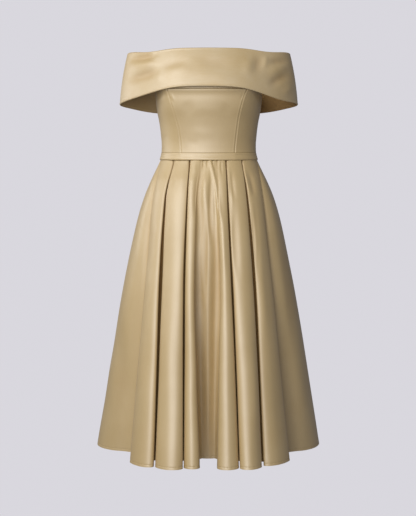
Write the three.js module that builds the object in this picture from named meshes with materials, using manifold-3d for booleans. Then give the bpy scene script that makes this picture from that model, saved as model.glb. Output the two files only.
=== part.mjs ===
// Off-the-shoulder midi dress in satin: a wide folded band round the chest and upper arms,
// a fitted bodice with princess seams, a narrow waistband and a skirt of deep soft pleats.
// Millimetres, +Z up, worn form with no wearer. The origin is the middle of the waistband, on
// the body's axis. The front faces -Y and the wearer's left is +X. Below, "depth" is how far
// a point lies in front of the axis, so depth is -Y, and "fall" is how far it hangs below Z 0.

import * as THREE from 'three';
import Module from 'manifold-3d';
import { mergeVertices } from 'three/addons/utils/BufferGeometryUtils.js';

// Cloth and seams
const WALL = 1.2;
const BAND_WALL = 1.6;
const SEAM_GAP = 0.3;

// Heights
const TOP_EDGE = 236;
const UNDERARM = 185;
const WAISTBAND_HALF = 9.7;
const WAIST_DIP = 7.4;
const WAISTBAND_PROUD = 0.8;
const DIP_FADES_OVER = 60;
const HEM_FALL = 765;

// Folded band
const FOLD_THICKNESS = 9;
const BAND_BELLY = 3;
const LEG_ON_BODICE = { front: 104, back: 82 };
const LEG_FREE = { front: 150, back: 135 };

// Places round the bodice: 0 front centre, 1 princess seam, 2 side, 3 back centre
const PRINCESS = 1;
const SIDE_SEAM = 2.05;
const BACK_CENTRE = 3;
const BODICE_ROWS = 12;
const UNDERARM_FROM = 1.95;
const UNDERARM_TO = 2.16;
const BACK_TOP_FROM = 2.75;

// One row for each level of the bodice. The princess seams stand at seamRight and seamLeft,
// sag is how far the front panel curves back at them, and turn is the side panel's angle there.
const BODICE_LEVELS = [
  { z: -14, halfWidth: 128.0, front: 97, back: 88, seamRight: 72.0, seamLeft: 67.0, sag: 11, turn: 25 },
  { z: 10, halfWidth: 125.2, front: 95, back: 86, seamRight: 72.0, seamLeft: 67.0, sag: 11, turn: 25 },
  { z: 25, halfWidth: 124.5, front: 96, back: 86, seamRight: 72.6, seamLeft: 68.2, sag: 11, turn: 26 },
  { z: 60, halfWidth: 127.0, front: 103, back: 90, seamRight: 77.0, seamLeft: 72.0, sag: 11, turn: 28 },
  { z: 90, halfWidth: 131.0, front: 112, back: 95, seamRight: 85.0, seamLeft: 76.0, sag: 12, turn: 30 },
  { z: 115, halfWidth: 136.0, front: 121, back: 99, seamRight: 92.5, seamLeft: 81.5, sag: 12, turn: 31 },
  { z: 140, halfWidth: 139.5, front: 127, back: 103, seamRight: 100.5, seamLeft: 88.5, sag: 13, turn: 32 },
  { z: 165, halfWidth: 141.2, front: 130, back: 105, seamRight: 106.0, seamLeft: 97.0, sag: 14, turn: 32 },
  { z: 190, halfWidth: 142.0, front: 126, back: 105, seamRight: 110.0, seamLeft: 103.0, sag: 18, turn: 32 },
  { z: 215, halfWidth: 141.2, front: 117, back: 103, seamRight: 112.0, seamLeft: 108.0, sag: 22, turn: 31 },
  { z: 240, halfWidth: 140.0, front: 107, back: 100, seamRight: 113.0, seamLeft: 111.0, sag: 20, turn: 30 },
];
const BACK_ROUND = 2.1;

// One row for each section of the band, from the front centre round the side to the back
// centre: the lower edge, then the top of the fold. The other half mirrors it.
const BAND_SECTIONS = [
  { across: 0, depth: 142, low: 166.2, droop: 0, topAcross: 0, topDepth: 105, top: 270.3 },
  { across: 48, depth: 141, low: 166.2, droop: 0.4, topAcross: 46, topDepth: 103.5, top: 270.0 },
  { across: 90, depth: 134, low: 164.6, droop: 2, topAcross: 84, topDepth: 97, top: 270.3 },
  { across: 128, depth: 118, low: 158.2, droop: 4.6, topAcross: 118, topDepth: 87.5, top: 267.6 },
  { across: 163, depth: 98, low: 150.2, droop: 6.6, topAcross: 148, topDepth: 77, top: 264.4 },
  { across: 193, depth: 76, low: 143.8, droop: 6.8, topAcross: 176, topDepth: 61, top: 266.0 },
  { across: 221, depth: 41, low: 139.6, droop: 2, topAcross: 202, topDepth: 37, top: 270.6 },
  { across: 239, depth: 0, low: 136.4, droop: 0, topAcross: 219, topDepth: 0, top: 273.6 },
  { across: 229, depth: -29, low: 134.5, droop: 0, topAcross: 210, topDepth: -29, top: 275.4 },
  { across: 205, depth: -58, low: 132.0, droop: 0, topAcross: 187, topDepth: -55, top: 276.4 },
  { across: 172, depth: -90, low: 128.2, droop: 0, topAcross: 155, topDepth: -77, top: 276.8 },
  { across: 128, depth: -113, low: 125.8, droop: 0, topAcross: 116, topDepth: -92, top: 276.8 },
  { across: 70, depth: -122, low: 125.4, droop: 0, topAcross: 64, topDepth: -101, top: 277.0 },
  { across: 0, depth: -125, low: 125.4, droop: 0, topAcross: 0, topDepth: -105, top: 277.0 },
];
const COLUMNS_PER_SECTION = 2;

// One row for each level of the skirt: half of its full width, half of the width over which
// the front folds stand, and how far the fold crests reach in front and behind.
const SKIRT_LEVELS = [
  { fall: 10, halfWidth: 127.6, foldWidth: 127.6, front: 97, back: 88, round: 2.25 },
  { fall: 22, halfWidth: 133.0, foldWidth: 133.0, front: 103, back: 93, round: 2.25 },
  { fall: 40, halfWidth: 141.6, foldWidth: 141.5, front: 113, back: 103, round: 2.25 },
  { fall: 65, halfWidth: 153.4, foldWidth: 153.0, front: 127, back: 116, round: 2.3 },
  { fall: 100, halfWidth: 168.0, foldWidth: 166.0, front: 144, back: 133, round: 2.3 },
  { fall: 150, halfWidth: 184.0, foldWidth: 179.0, front: 162, back: 152, round: 2.3 },
  { fall: 220, halfWidth: 201.4, foldWidth: 189.0, front: 183, back: 171, round: 2.35 },
  { fall: 310, halfWidth: 219.6, foldWidth: 201.0, front: 204, back: 194, round: 2.4 },
  { fall: 420, halfWidth: 240.4, foldWidth: 214.0, front: 229, back: 217, round: 2.45 },
  { fall: 540, halfWidth: 260.4, foldWidth: 228.0, front: 251, back: 239, round: 2.5 },
  { fall: 660, halfWidth: 280.4, foldWidth: 240.0, front: 274, back: 258, round: 2.5 },
  { fall: HEM_FALL, halfWidth: 298.0, foldWidth: 250.0, front: 297, back: 272, round: 2.5 },
];
const SKIRT_BACK_ROUND = 2.2;

// The lists in the tables below hold a value at the waist, hip, thigh, calf and hem
const STATIONS = [17, 120, 345, 550, HEM_FALL];

// How far the valleys point at the axis, from 0, straight back, to 1
const FRONT_AIM = [0.7, 0.2, 0, 0, 0];
const BACK_AIM = [0.6, 0.4, 0.4, 0.4, 0.4];

// Deep narrow valleys between the front folds: middle, width at the mouth, depth and how much
// wider they are inside. The centre one is an open recess whose floor carries small gathers.
const FRONT_VALLEYS = [
  { x: [-91.5, -111, -119.6, -125, -131], gap: [1.0, 4.8, 12, 9, 4.6], deep: [7, 20, 52, 72, 90], belly: 6 },
  { x: [-49.3, -54.6, -60.9, -61.3, -61.5], gap: [1.0, 3.2, 6.1, 4.6, 2.8], deep: [7, 20, 56, 84, 108], belly: 5 },
  { recess: true, left: [-21, -31, -36, -30, -22.4], right: [22, 25, 27, 24, 20], deep: [1.8, 8, 45, 90, 137] },
  { x: [44.5, 48, 57.9, 66, 73], gap: [1.0, 3.8, 5.6, 4.2, 2.8], deep: [7, 20, 54, 80, 104], belly: 5 },
  { x: [86.4, 98.1, 114, 122.5, 130.1], gap: [1.0, 6, 8, 6.5, 5.2], deep: [7, 20, 48, 62, 76], belly: 6 },
];
const RECESS_LINES = [
  { x: [-10.5, -19, -24, -21, -17], lift: [0.2, 0.2, 0, 0, 1] },
  { x: [-7, -14, -17.5, -15, -12], lift: [0.4, 1.4, 1, 1, 0.4] },
  { x: [-3.5, -8, -10, -9, -7], lift: [0.8, 1.5, 5, 5, 1] },
  { x: [0, -1, -2, -2, -1], lift: [1, 4, 9, 9, 2] },
  { x: [4, 5, 6, 5, 4], lift: [0.8, 1.8, 5, 5, 1] },
  { x: [8, 10, 11.5, 10.5, 9], lift: [0.4, 1.4, 1, 1, 0.4] },
  { x: [12, 15, 17.5, 16, 14], lift: [0.2, 0.2, 0, 0, 1] },
];

// One row for each front fold, from the wearer's right to the left: how far its crest lies
// below the skirt's outer form, and how far it rounds off at its two edges.
const FRONT_FOLDS = [
  { sink: [0, 0, 0, 0, 0], round: [1.2, 3, 9, 13, 19] },
  { sink: [0, 0, 0, 0, 0], round: [1.2, 3.5, 9, 14, 20] },
  { sink: [0, 0.5, 6, 12, 17], round: [1.2, 3, 7, 11, 14] },
  { sink: [0, 0.5, 2, 4, 7], round: [1.2, 3, 8, 14, 19] },
  { sink: [0, 0, 0, 0, 0], round: [1.2, 3.5, 10, 15, 21] },
  { sink: [0, 0.5, 6, 12, 16], round: [1.2, 3, 7, 11, 15] },
];

// The side of the skirt beyond the outer fold: the fold's edge, how far the side cloth steps
// back from it, how far it tucks under the fold, and the depth of the widest point.
const RIGHT_SIDE = {
  edge: [125, 142, 161, 177, 194],
  step: [10, 17, 42, 90, 140],
  tuck: [-2, -3, 2, 3, 4],
  widest: [0, -2, -12, -24, -38],
};
const LEFT_SIDE = {
  edge: [124.6, 136, 160, 179, 200],
  step: [10, 17, 38, 82, 130],
  tuck: [-2, -3, 2, 3, 4],
  widest: [0, -3, -18, -36, -56],
};
const SEAM_BEHIND_WIDEST = [7.5, 9, 12, 16, 20];

// Plain valleys of the hidden back, from the wearer's left to the right. They point inwards.
const BACK_VALLEYS = [
  { x: [99, 124, 156, 183, 208], gap: [1, 5, 9, 9, 8], deep: [5, 13, 32, 44, 54], belly: 5 },
  { x: [60, 73, 90, 104, 117], gap: [1, 5, 9, 11, 12], deep: [6, 18, 44, 60, 74], belly: 5 },
  { x: [20, 26, 34, 40, 44], gap: [1, 4, 8, 8, 9], deep: [6, 19, 50, 70, 86], belly: 5 },
  { x: [-20, -25, -32, -36, -38], gap: [1, 4, 7, 6, 5], deep: [6, 20, 52, 74, 92], belly: 5 },
  { x: [-58, -70, -86, -96, -108], gap: [1, 5, 9, 9, 8], deep: [6, 18, 46, 64, 80], belly: 5 },
  { x: [-98, -122, -152, -176, -200], gap: [1, 5, 10, 12, 12], deep: [5, 14, 34, 46, 56], belly: 5 },
];
const BACK_FOLD = { sink: [0, 0, 0, 0, 0], round: [1.2, 3, 7, 11, 15] };

// Shape of every fold's crest between its edges, and of every valley from mouth to mouth
const CREST_PROFILE = [
  { along: 0, round: 1 },
  { along: 0.09, round: 0.5 },
  { along: 0.28, round: 0.07 },
  { along: 0.72, round: 0.07 },
  { along: 0.91, round: 0.5 },
  { along: 1, round: 1 },
];
const VALLEY_PROFILE = [
  { side: -1, belly: 0.2, inward: 0.32 },
  { side: -1, belly: 1, inward: 0.72 },
  { side: -0.6, belly: 1, inward: 0.95 },
  { side: 0, belly: 0, inward: 1 },
  { side: 0.6, belly: 1, inward: 0.95 },
  { side: 1, belly: 1, inward: 0.72 },
  { side: 1, belly: 0.2, inward: 0.32 },
];
const LOBE_TURNS = [90, 70, 50, 30, 12];

// Concealed zip in the wearer's left side seam
const ZIP_FALL = 150;
const TAPE_HALF_WIDTH = 9;
const TAPE_THICKNESS = 1;
const TAPE_CLEARANCE = 1;
const SLIDER = { width: 7.4, legFrom: -7.2, legTo: -4.6, legDrop: 12, crown: 2.2, earFrom: 0.8, earTo: 2.6, earDrop: 7 };
const PULL_BAR = { out: 5.2, below: 3.5, radius: 0.8, cheek: 0.8, cheekReach: 1.4 };
const PULL = { width: 5, eyeRadius: 2.1, holeRadius: 1.2, thickness: 1.2, length: 24 };

const SATIN = { color: 0xcbb484, roughness: 0.42, metalness: 0 };
const BAND_SATIN = { color: 0xcdb688, roughness: 0.4, metalness: 0 };
const TAPE = { color: 0xb9a577, roughness: 0.8, metalness: 0 };
const METAL = { color: 0xb59a5e, roughness: 0.3, metalness: 1 };

const radians = THREE.MathUtils.degToRad;
const { clamp, lerp, smoothstep } = THREE.MathUtils;

// A smooth curve through a table's values that stays between neighbouring ones
function curveThrough(at, values) {
  const last = at.length - 1;
  const slopes = [];
  for (let i = 0; i < last; i += 1) slopes.push((values[i + 1] - values[i]) / (at[i + 1] - at[i]));
  const tangents = at.map((place, i) => {
    if (i === 0) return slopes[0];
    if (i === last) return slopes[last - 1];
    const turns = slopes[i - 1] * slopes[i] <= 0;
    return turns ? 0 : (2 * slopes[i - 1] * slopes[i]) / (slopes[i - 1] + slopes[i]);
  });
  return (wanted) => {
    const x = clamp(wanted, at[0], at[last]);
    let i = 0;
    while (i < last - 1 && x > at[i + 1]) i += 1;
    const span = at[i + 1] - at[i];
    const t = (x - at[i]) / span;
    const rise = t * t * (3 - 2 * t);
    const lean = t * (1 - t) * span;
    return lerp(values[i], values[i + 1], rise) + lean * ((1 - t) * tangents[i] - t * tangents[i + 1]);
  };
}

// A table with named columns becomes one curve for each column
function columnsOf(rows, key) {
  const at = rows.map((row) => row[key]);
  const names = Object.keys(rows[0]).filter((name) => name !== key);
  const curves = names.map((name) => [name, curveThrough(at, rows.map((row) => row[name]))]);
  return (place) => Object.fromEntries(curves.map(([name, curve]) => [name, curve(place)]));
}

// A row whose lists run from waist to hem becomes a row of curves over the fall
function overStations(row) {
  const entries = Object.entries(row).map(([name, value]) => {
    return [name, Array.isArray(value) ? curveThrough(STATIONS, value) : value];
  });
  return Object.fromEntries(entries);
}

const bodiceSize = columnsOf(BODICE_LEVELS, 'z');
const skirtSize = columnsOf(SKIRT_LEVELS, 'fall');
const frontValleys = FRONT_VALLEYS.map((row) => overStations({ ...row, aim: FRONT_AIM }));
const recessLines = RECESS_LINES.map(overStations);
const frontFolds = FRONT_FOLDS.map(overStations);
const backValleys = BACK_VALLEYS.map((row) => overStations({ ...row, aim: BACK_AIM }));
const backFold = overStations(BACK_FOLD);
const rightSide = overStations(RIGHT_SIDE);
const leftSide = overStations(LEFT_SIDE);
const seamBehindWidest = curveThrough(STATIONS, SEAM_BEHIND_WIDEST);

const power = (value, exponent) => Math.sign(value) * Math.abs(value) ** exponent;
const quarterOval = (x, halfWidth, round) => Math.max(0, 1 - (Math.abs(x) / halfWidth) ** round) ** (1 / round);

// How far the waist line dips: it slopes down to the front, and is level behind the sides
function waistDip(depth) {
  const slope = (ahead) => ahead ** 2 / (ahead + 40);
  return (WAIST_DIP * slope(Math.max(0, depth))) / slope(bodiceSize(0).front);
}

// A point of the fitted body at a height and a place round it, moved in by inset
function bodicePoint(z, place, inset) {
  const size = bodiceSize(z);
  const sign = place < 0 ? -1 : 1;
  const p = Math.abs(place);
  const seam = (sign < 0 ? size.seamRight : size.seamLeft) - inset * 0.3;
  const halfWidth = size.halfWidth - inset;
  const seamDepth = size.front - size.sag - inset;
  if (p <= PRINCESS) return new THREE.Vector3(sign * p * seam, -(size.front - inset - size.sag * p * p), z);
  if (p <= 2) {
    const t = p - PRINCESS;
    const pull = seamDepth - (halfWidth - seam) * Math.tan(radians(size.turn));
    const x = (1 - t) ** 2 * seam + (1 - (1 - t) ** 2) * halfWidth;
    const depth = (1 - t) ** 2 * seamDepth + 2 * t * (1 - t) * pull;
    return new THREE.Vector3(sign * x, -depth, z);
  }
  const turn = ((p - 2) * Math.PI) / 2;
  const x = halfWidth * power(Math.cos(turn), 2 / BACK_ROUND);
  const behind = (size.back - inset) * power(Math.sin(turn), 2 / BACK_ROUND);
  return new THREE.Vector3(sign * x, behind, z);
}

// The top edge is level in front and behind and sinks to the underarm at the sides
function bodiceTop(place) {
  const p = Math.abs(place);
  const front = smoothstep(p, PRINCESS, UNDERARM_FROM);
  const back = smoothstep(p, UNDERARM_TO, BACK_TOP_FROM);
  return lerp(TOP_EDGE, UNDERARM, front * (1 - back));
}

// Even steps from one value to another, both ends included
function steps(from, to, count) {
  return Array.from({ length: count + 1 }, (unused, i) => lerp(from, to, i / count));
}

// Both faces of a wall of the fitted body, over places round it and heights
function bodyWall(places, heights, outerInset, innerInset) {
  const face = (inset) => heights.map((heightAt) => places.map((place) => {
    const flat = bodicePoint(0, place, inset);
    return bodicePoint(heightAt(place, flat), place, inset);
  }));
  return { outer: face(outerInset), inner: face(innerInset) };
}

// A place moved along the waist by a length, for the gaps at the seams
function shifted(place, length) {
  const ahead = bodicePoint(0, place + 0.001, 0);
  const behind = bodicePoint(0, place - 0.001, 0);
  return place + (length * 0.002) / ahead.distanceTo(behind);
}

function placesBetween(from, to, count) {
  return steps(shifted(from, SEAM_GAP / 2), shifted(to, -SEAM_GAP / 2), count);
}

// A closed wall between two grids of points that face each other
function wallGeometry({ outer, inner }) {
  const rows = outer.length;
  const columns = outer[0].length;
  const points = [...outer.flat(), ...inner.flat()];
  const front = (r, c) => r * columns + c;
  const behind = (r, c) => rows * columns + r * columns + c;
  const index = [];
  const quad = (a, b, c, d) => index.push(a, b, c, a, c, d);
  for (let r = 0; r < rows - 1; r += 1) {
    for (let c = 0; c < columns - 1; c += 1) {
      quad(front(r, c), front(r, c + 1), front(r + 1, c + 1), front(r + 1, c));
      quad(behind(r, c), behind(r + 1, c), behind(r + 1, c + 1), behind(r, c + 1));
    }
    quad(front(r, 0), front(r + 1, 0), behind(r + 1, 0), behind(r, 0));
    quad(front(r, columns - 1), behind(r, columns - 1), behind(r + 1, columns - 1), front(r + 1, columns - 1));
  }
  for (let c = 0; c < columns - 1; c += 1) {
    quad(front(0, c), behind(0, c), behind(0, c + 1), front(0, c + 1));
    quad(front(rows - 1, c), front(rows - 1, c + 1), behind(rows - 1, c + 1), behind(rows - 1, c));
  }
  let volume = 0;
  for (let i = 0; i < index.length; i += 3) {
    const [a, b, c] = index.slice(i, i + 3).map((k) => points[k]);
    volume += a.dot(b.clone().cross(c));
  }
  if (volume < 0) index.reverse();
  const geometry = new THREE.BufferGeometry().setFromPoints(points);
  geometry.setIndex(index);
  geometry.computeVertexNormals();
  return geometry;
}

function piece(name, geometry, finish) {
  const mesh = new THREE.Mesh(geometry, new THREE.MeshStandardMaterial(finish));
  mesh.name = name;
  return mesh;
}

// Bodice: a centre front, two side fronts and a back, from the waistband to the band
function bodice() {
  const group = new THREE.Group();
  const bottom = (place, flat) => WAISTBAND_HALF + SEAM_GAP - waistDip(-flat.y);
  const heights = steps(0, 1, BODICE_ROWS).map((rise) => (place, flat) => lerp(bottom(place, flat), bodiceTop(place), rise));
  const panels = {
    bodice_center_front: placesBetween(-PRINCESS, PRINCESS, 12),
    bodice_side_front_left: placesBetween(PRINCESS, SIDE_SEAM, 7),
    bodice_side_front_right: placesBetween(-SIDE_SEAM, -PRINCESS, 7),
    bodice_back: placesBetween(SIDE_SEAM, 2 * BACK_CENTRE - SIDE_SEAM, 16).map(throughBack),
  };
  for (const [name, places] of Object.entries(panels)) {
    group.add(piece(name, wallGeometry(bodyWall(places, heights, 0, WALL)), SATIN));
  }
  return group;
}

// Places past the back centre count back down on the wearer's right
function throughBack(place) {
  return place <= BACK_CENTRE ? place : place - 2 * BACK_CENTRE;
}

function waistband() {
  const group = new THREE.Group();
  const heights = [-1, 0, 1].map((level) => (place, flat) => level * WAISTBAND_HALF - waistDip(-flat.y));
  const halves = {
    waistband_front: placesBetween(-SIDE_SEAM, SIDE_SEAM, 26),
    waistband_back: placesBetween(SIDE_SEAM, 2 * BACK_CENTRE - SIDE_SEAM, 16).map(throughBack),
  };
  for (const [name, places] of Object.entries(halves)) {
    const wall = bodyWall(places, heights, -WAISTBAND_PROUD, WALL - WAISTBAND_PROUD);
    group.add(piece(name, wallGeometry(wall), SATIN));
  }
  return group;
}

// Outward direction at each point of a closed line seen from above, whose inside lies to the
// right of the way it runs, as plan vectors of across and depth
function outwardOf(line) {
  return line.map((point, i) => {
    const before = line[(i + line.length - 1) % line.length];
    const after = line[(i + 1) % line.length];
    const arriving = point.clone().sub(before).normalize();
    const leaving = after.clone().sub(point).normalize();
    const along = arriving.clone().add(leaving).normalize();
    const corner = clamp(along.dot(arriving), 0.7, 1);
    return new THREE.Vector2(-along.y, along.x).divideScalar(corner);
  });
}

function insetLine(line, distance) {
  return outwardOf(line).map((outward, i) => line[i].clone().addScaledVector(outward, -distance));
}

// Depth of the skirt's outer form in front, and behind, where depths are negative
function frontDepth(x, fall) {
  const size = skirtSize(fall);
  return size.front * quarterOval(x, size.foldWidth, size.round);
}

function backDepth(x, fall) {
  const size = skirtSize(fall);
  const share = clamp((x / size.halfWidth + 1) / 2, 0, 1);
  const widest = lerp(rightSide.widest(fall), leftSide.widest(fall), share);
  return widest - (size.back + widest) * quarterOval(x, size.halfWidth, SKIRT_BACK_ROUND);
}

function foldCrest(fold, from, to, fall, formDepth, outwardSign) {
  return CREST_PROFILE.map((row) => {
    const x = lerp(from, to, row.along);
    const low = fold.sink(fall) + fold.round(fall) * row.round;
    return new THREE.Vector2(x, formDepth(x, fall) - outwardSign * low);
  });
}

// The inside of a valley between two folds whose edges lie at mouthDrops below the outer form.
// Its middle line starts on the form at x and runs towards the axis as far as aim says.
function valleyPoints(valley, fall, formDepth, mouthDrops) {
  const x = valley.x(fall);
  const mouth = new THREE.Vector2(x, formDepth(x, fall));
  const inward = new THREE.Vector2(x * (1 - valley.aim(fall)), 0).sub(mouth).normalize();
  const across = new THREE.Vector2(-inward.y, inward.x);
  const deep = valley.deep(fall);
  const belly = (valley.belly * deep) / valley.deep(HEM_FALL);
  return VALLEY_PROFILE.map((row) => {
    const mouthDrop = mouthDrops[row.side < 0 ? 0 : 1];
    const sideways = row.side * (valley.gap(fall) / 2 + belly * row.belly);
    const down = mouthDrop + (deep - mouthDrop) * row.inward;
    return mouth.clone().addScaledVector(inward, down).addScaledVector(across, sideways);
  });
}

// The open recess in the middle of the front: a floor with gathers between two flanks, which
// slope in softly near the waist and stand steep, slightly undercut, at the hem
function recessPoints(recess, fall, mouthDrops) {
  const left = recess.left(fall);
  const right = recess.right(fall);
  const deep = recess.deep(fall);
  const flank = (x, mouthDrop, share) => {
    return new THREE.Vector2(x, frontDepth(x, fall) - lerp(mouthDrop, deep, share));
  };
  const floor = recessLines.map((line) => {
    const x = line.x(fall);
    return new THREE.Vector2(x, frontDepth(x, fall) - deep + line.lift(fall));
  });
  const slope = lerp(8, -2, clamp(deep / 60, 0, 1));
  const lowLeft = [flank(left + slope / 2, mouthDrops[0], 0.45), flank(left + slope, mouthDrops[0], 0.88)];
  const lowRight = [flank(right - slope, mouthDrops[1], 0.88), flank(right - slope / 2, mouthDrops[1], 0.45)];
  return [...lowLeft, ...floor, ...lowRight];
}

function sideSeam(side, sign, fall) {
  const size = skirtSize(fall);
  const widest = side.widest(fall);
  const behind = seamBehindWidest(fall) / (size.back + widest);
  const x = size.halfWidth * (1 - behind ** SKIRT_BACK_ROUND) ** (1 / SKIRT_BACK_ROUND);
  return new THREE.Vector2(sign * x, widest - seamBehindWidest(fall));
}

// From the side seam forwards over the widest point and in to the flank of the outer fold
function sidePoints(side, sign, fall) {
  const { halfWidth } = skirtSize(fall);
  const edge = side.edge(fall);
  const step = side.step(fall);
  const footX = edge - side.tuck(fall);
  const foot = frontDepth(edge, fall) - step;
  const widest = side.widest(fall);
  const lobe = LOBE_TURNS.map(radians).map((turn) => new THREE.Vector2(
    footX + (halfWidth - footX) * Math.sin(turn) ** 0.95,
    widest + (foot - widest) * Math.cos(turn) ** 0.95,
  ));
  const flank = [0.12, 0.5].map((share) => new THREE.Vector2(lerp(footX, edge, share * share), foot + step * share));
  const points = [...lobe, ...flank].map((point) => new THREE.Vector2(sign * point.x, point.y));
  return [sideSeam(side, sign, fall), ...points];
}

// The front of the skirt at one level, from the wearer's right side seam to the left one
function frontLine(fall) {
  const points = sidePoints(rightSide, -1, fall);
  const edgeDrop = (fold) => fold.sink(fall) + fold.round(fall);
  let from = -rightSide.edge(fall);
  frontFolds.forEach((fold, i) => {
    const valley = frontValleys[i];
    if (!valley) {
      points.push(...foldCrest(fold, from, leftSide.edge(fall), fall, frontDepth, 1));
      return;
    }
    const drops = [edgeDrop(fold), edgeDrop(frontFolds[i + 1])];
    const leftEdge = valley.recess ? valley.left(fall) : valley.x(fall) - valley.gap(fall) / 2;
    const rightEdge = valley.recess ? valley.right(fall) : valley.x(fall) + valley.gap(fall) / 2;
    points.push(...foldCrest(fold, from, leftEdge, fall, frontDepth, 1));
    if (valley.recess) points.push(...recessPoints(valley, fall, drops));
    else points.push(...valleyPoints(valley, fall, frontDepth, drops));
    from = rightEdge;
  });
  points.push(...sidePoints(leftSide, 1, fall).reverse());
  return points;
}

// The back of the skirt at one level, from just past the wearer's left side seam to the right
function backLine(fall) {
  const points = [];
  const drops = [backFold.round(fall), backFold.round(fall)];
  const edges = backValleys.map((valley) => {
    return [valley.x(fall) + valley.gap(fall) / 2, valley.x(fall) - valley.gap(fall) / 2];
  });
  points.push(...sideBack(leftSide, 1, edges[0][0], fall));
  backValleys.forEach((valley, i) => {
    points.push(...valleyPoints(valley, fall, backDepth, drops));
    if (i === backValleys.length - 1) return;
    points.push(...foldCrest(backFold, edges[i][1], edges[i + 1][0], fall, backDepth, -1));
  });
  points.push(...sideBack(rightSide, -1, -edges[edges.length - 1][1], fall).reverse());
  return points;
}

// From a side seam back to the edge of the first back valley, evenly by angle round the form
function sideBack(side, sign, edge, fall) {
  const size = skirtSize(fall);
  const angleAt = (x) => Math.acos(clamp(Math.abs(x) / size.halfWidth, 0, 1) ** (SKIRT_BACK_ROUND / 2));
  const start = angleAt(sideSeam(side, sign, fall).x);
  const end = angleAt(edge);
  const rows = [{ along: 0.3, round: 0 }, { along: 0.6, round: 0 }, { along: 0.85, round: 0.2 }, { along: 1, round: 1 }];
  return rows.map((row) => {
    const x = sign * size.halfWidth * Math.cos(lerp(start, end, row.along)) ** (2 / SKIRT_BACK_ROUND);
    return new THREE.Vector2(x, backDepth(x, fall) + backFold.round(fall) * row.round);
  });
}

// Columns from one to another of a ring's grid, with half a seam gap taken off at both ends
function cutFromRing(rows, from, to) {
  const count = rows[0].length;
  return rows.map((row) => {
    const cut = [];
    for (let c = from; c <= to; c += 1) cut.push(row[c % count].clone());
    trimEnd(cut[0], cut[1]);
    trimEnd(cut[cut.length - 1], cut[cut.length - 2]);
    return cut;
  });
}

function trimEnd(end, next) {
  end.addScaledVector(next.clone().sub(end).normalize(), SEAM_GAP / 2);
}

// The whole skirt as rings of points, outer and inner face, from the waist seam to the hem
function skirtRings() {
  const rings = { outer: [], inner: [], frontCount: 0 };
  for (const { fall } of SKIRT_LEVELS) {
    const front = frontLine(fall);
    const line = [...front, ...backLine(fall)];
    const fade = Math.max(0, 1 - (fall - WAISTBAND_HALF) / DIP_FADES_OVER);
    const lifted = (point) => {
      return new THREE.Vector3(point.x, -point.y, -fall - fade * waistDip(point.y));
    };
    rings.outer.push(line.map(lifted));
    rings.inner.push(insetLine(line, WALL).map(lifted));
    rings.frontCount = front.length;
  }
  return rings;
}

function skirt() {
  const group = new THREE.Group();
  const rings = skirtRings();
  const total = rings.outer[0].length;
  const seam = rings.frontCount - 1;
  const halves = { skirt_front: [0, seam], skirt_back: [seam, total] };
  for (const [name, [from, to]] of Object.entries(halves)) {
    const wall = { outer: cutFromRing(rings.outer, from, to), inner: cutFromRing(rings.inner, from, to) };
    group.add(piece(name, wallGeometry(wall), SATIN));
  }
  return group;
}

// The band's sections as a closed ring from the front centre over the wearer's left side, where
// the lower edge droops a little, refined by a smooth curve for each column of the table
function bandSections() {
  const names = Object.keys(BAND_SECTIONS[0]);
  const drooping = BAND_SECTIONS.map((row) => ({ ...row, low: row.low - row.droop }));
  const mirrored = BAND_SECTIONS.slice(1, -1).reverse().map((row) => {
    return { ...row, across: -row.across, topAcross: -row.topAcross };
  });
  const ring = [...drooping, ...mirrored];
  const sections = [];
  for (let i = 0; i < ring.length; i += 1) {
    for (let k = 0; k < COLUMNS_PER_SECTION; k += 1) {
      const section = {};
      for (const name of names) section[name] = throughRing(ring, name, i, k / COLUMNS_PER_SECTION);
      sections.push(section);
    }
  }
  return sections;
}

// A smooth value between one section of a ring and the next
function throughRing(ring, name, i, t) {
  const [a, b, c, d] = [-1, 0, 1, 2].map((k) => ring[(i + k + ring.length) % ring.length][name]);
  const early = (c - a) / 2;
  const late = (d - b) / 2;
  return b + early * t + (3 * (c - b) - 2 * early - late) * t * t + (2 * (b - c) + early + late) * t ** 3;
}

// Where the band's inner leg ends: on the bodice's top edge in front and behind, and free over
// the arms
function legEnd(x, depth, free) {
  const part = depth > 0 ? 'front' : 'back';
  const share = smoothstep(Math.abs(x), LEG_ON_BODICE[part], LEG_FREE[part]);
  if (share === 1) return free;
  const size = bodiceSize(TOP_EDGE);
  const seam = x < 0 ? size.seamRight : size.seamLeft;
  const onFront = size.front - size.sag * (x / seam) ** 2 - WALL;
  const onBack = -(size.back - WALL) * quarterOval(x, size.halfWidth - WALL, BACK_ROUND);
  return new THREE.Vector2(x, depth > 0 ? onFront : onBack).lerp(free, share);
}

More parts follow.
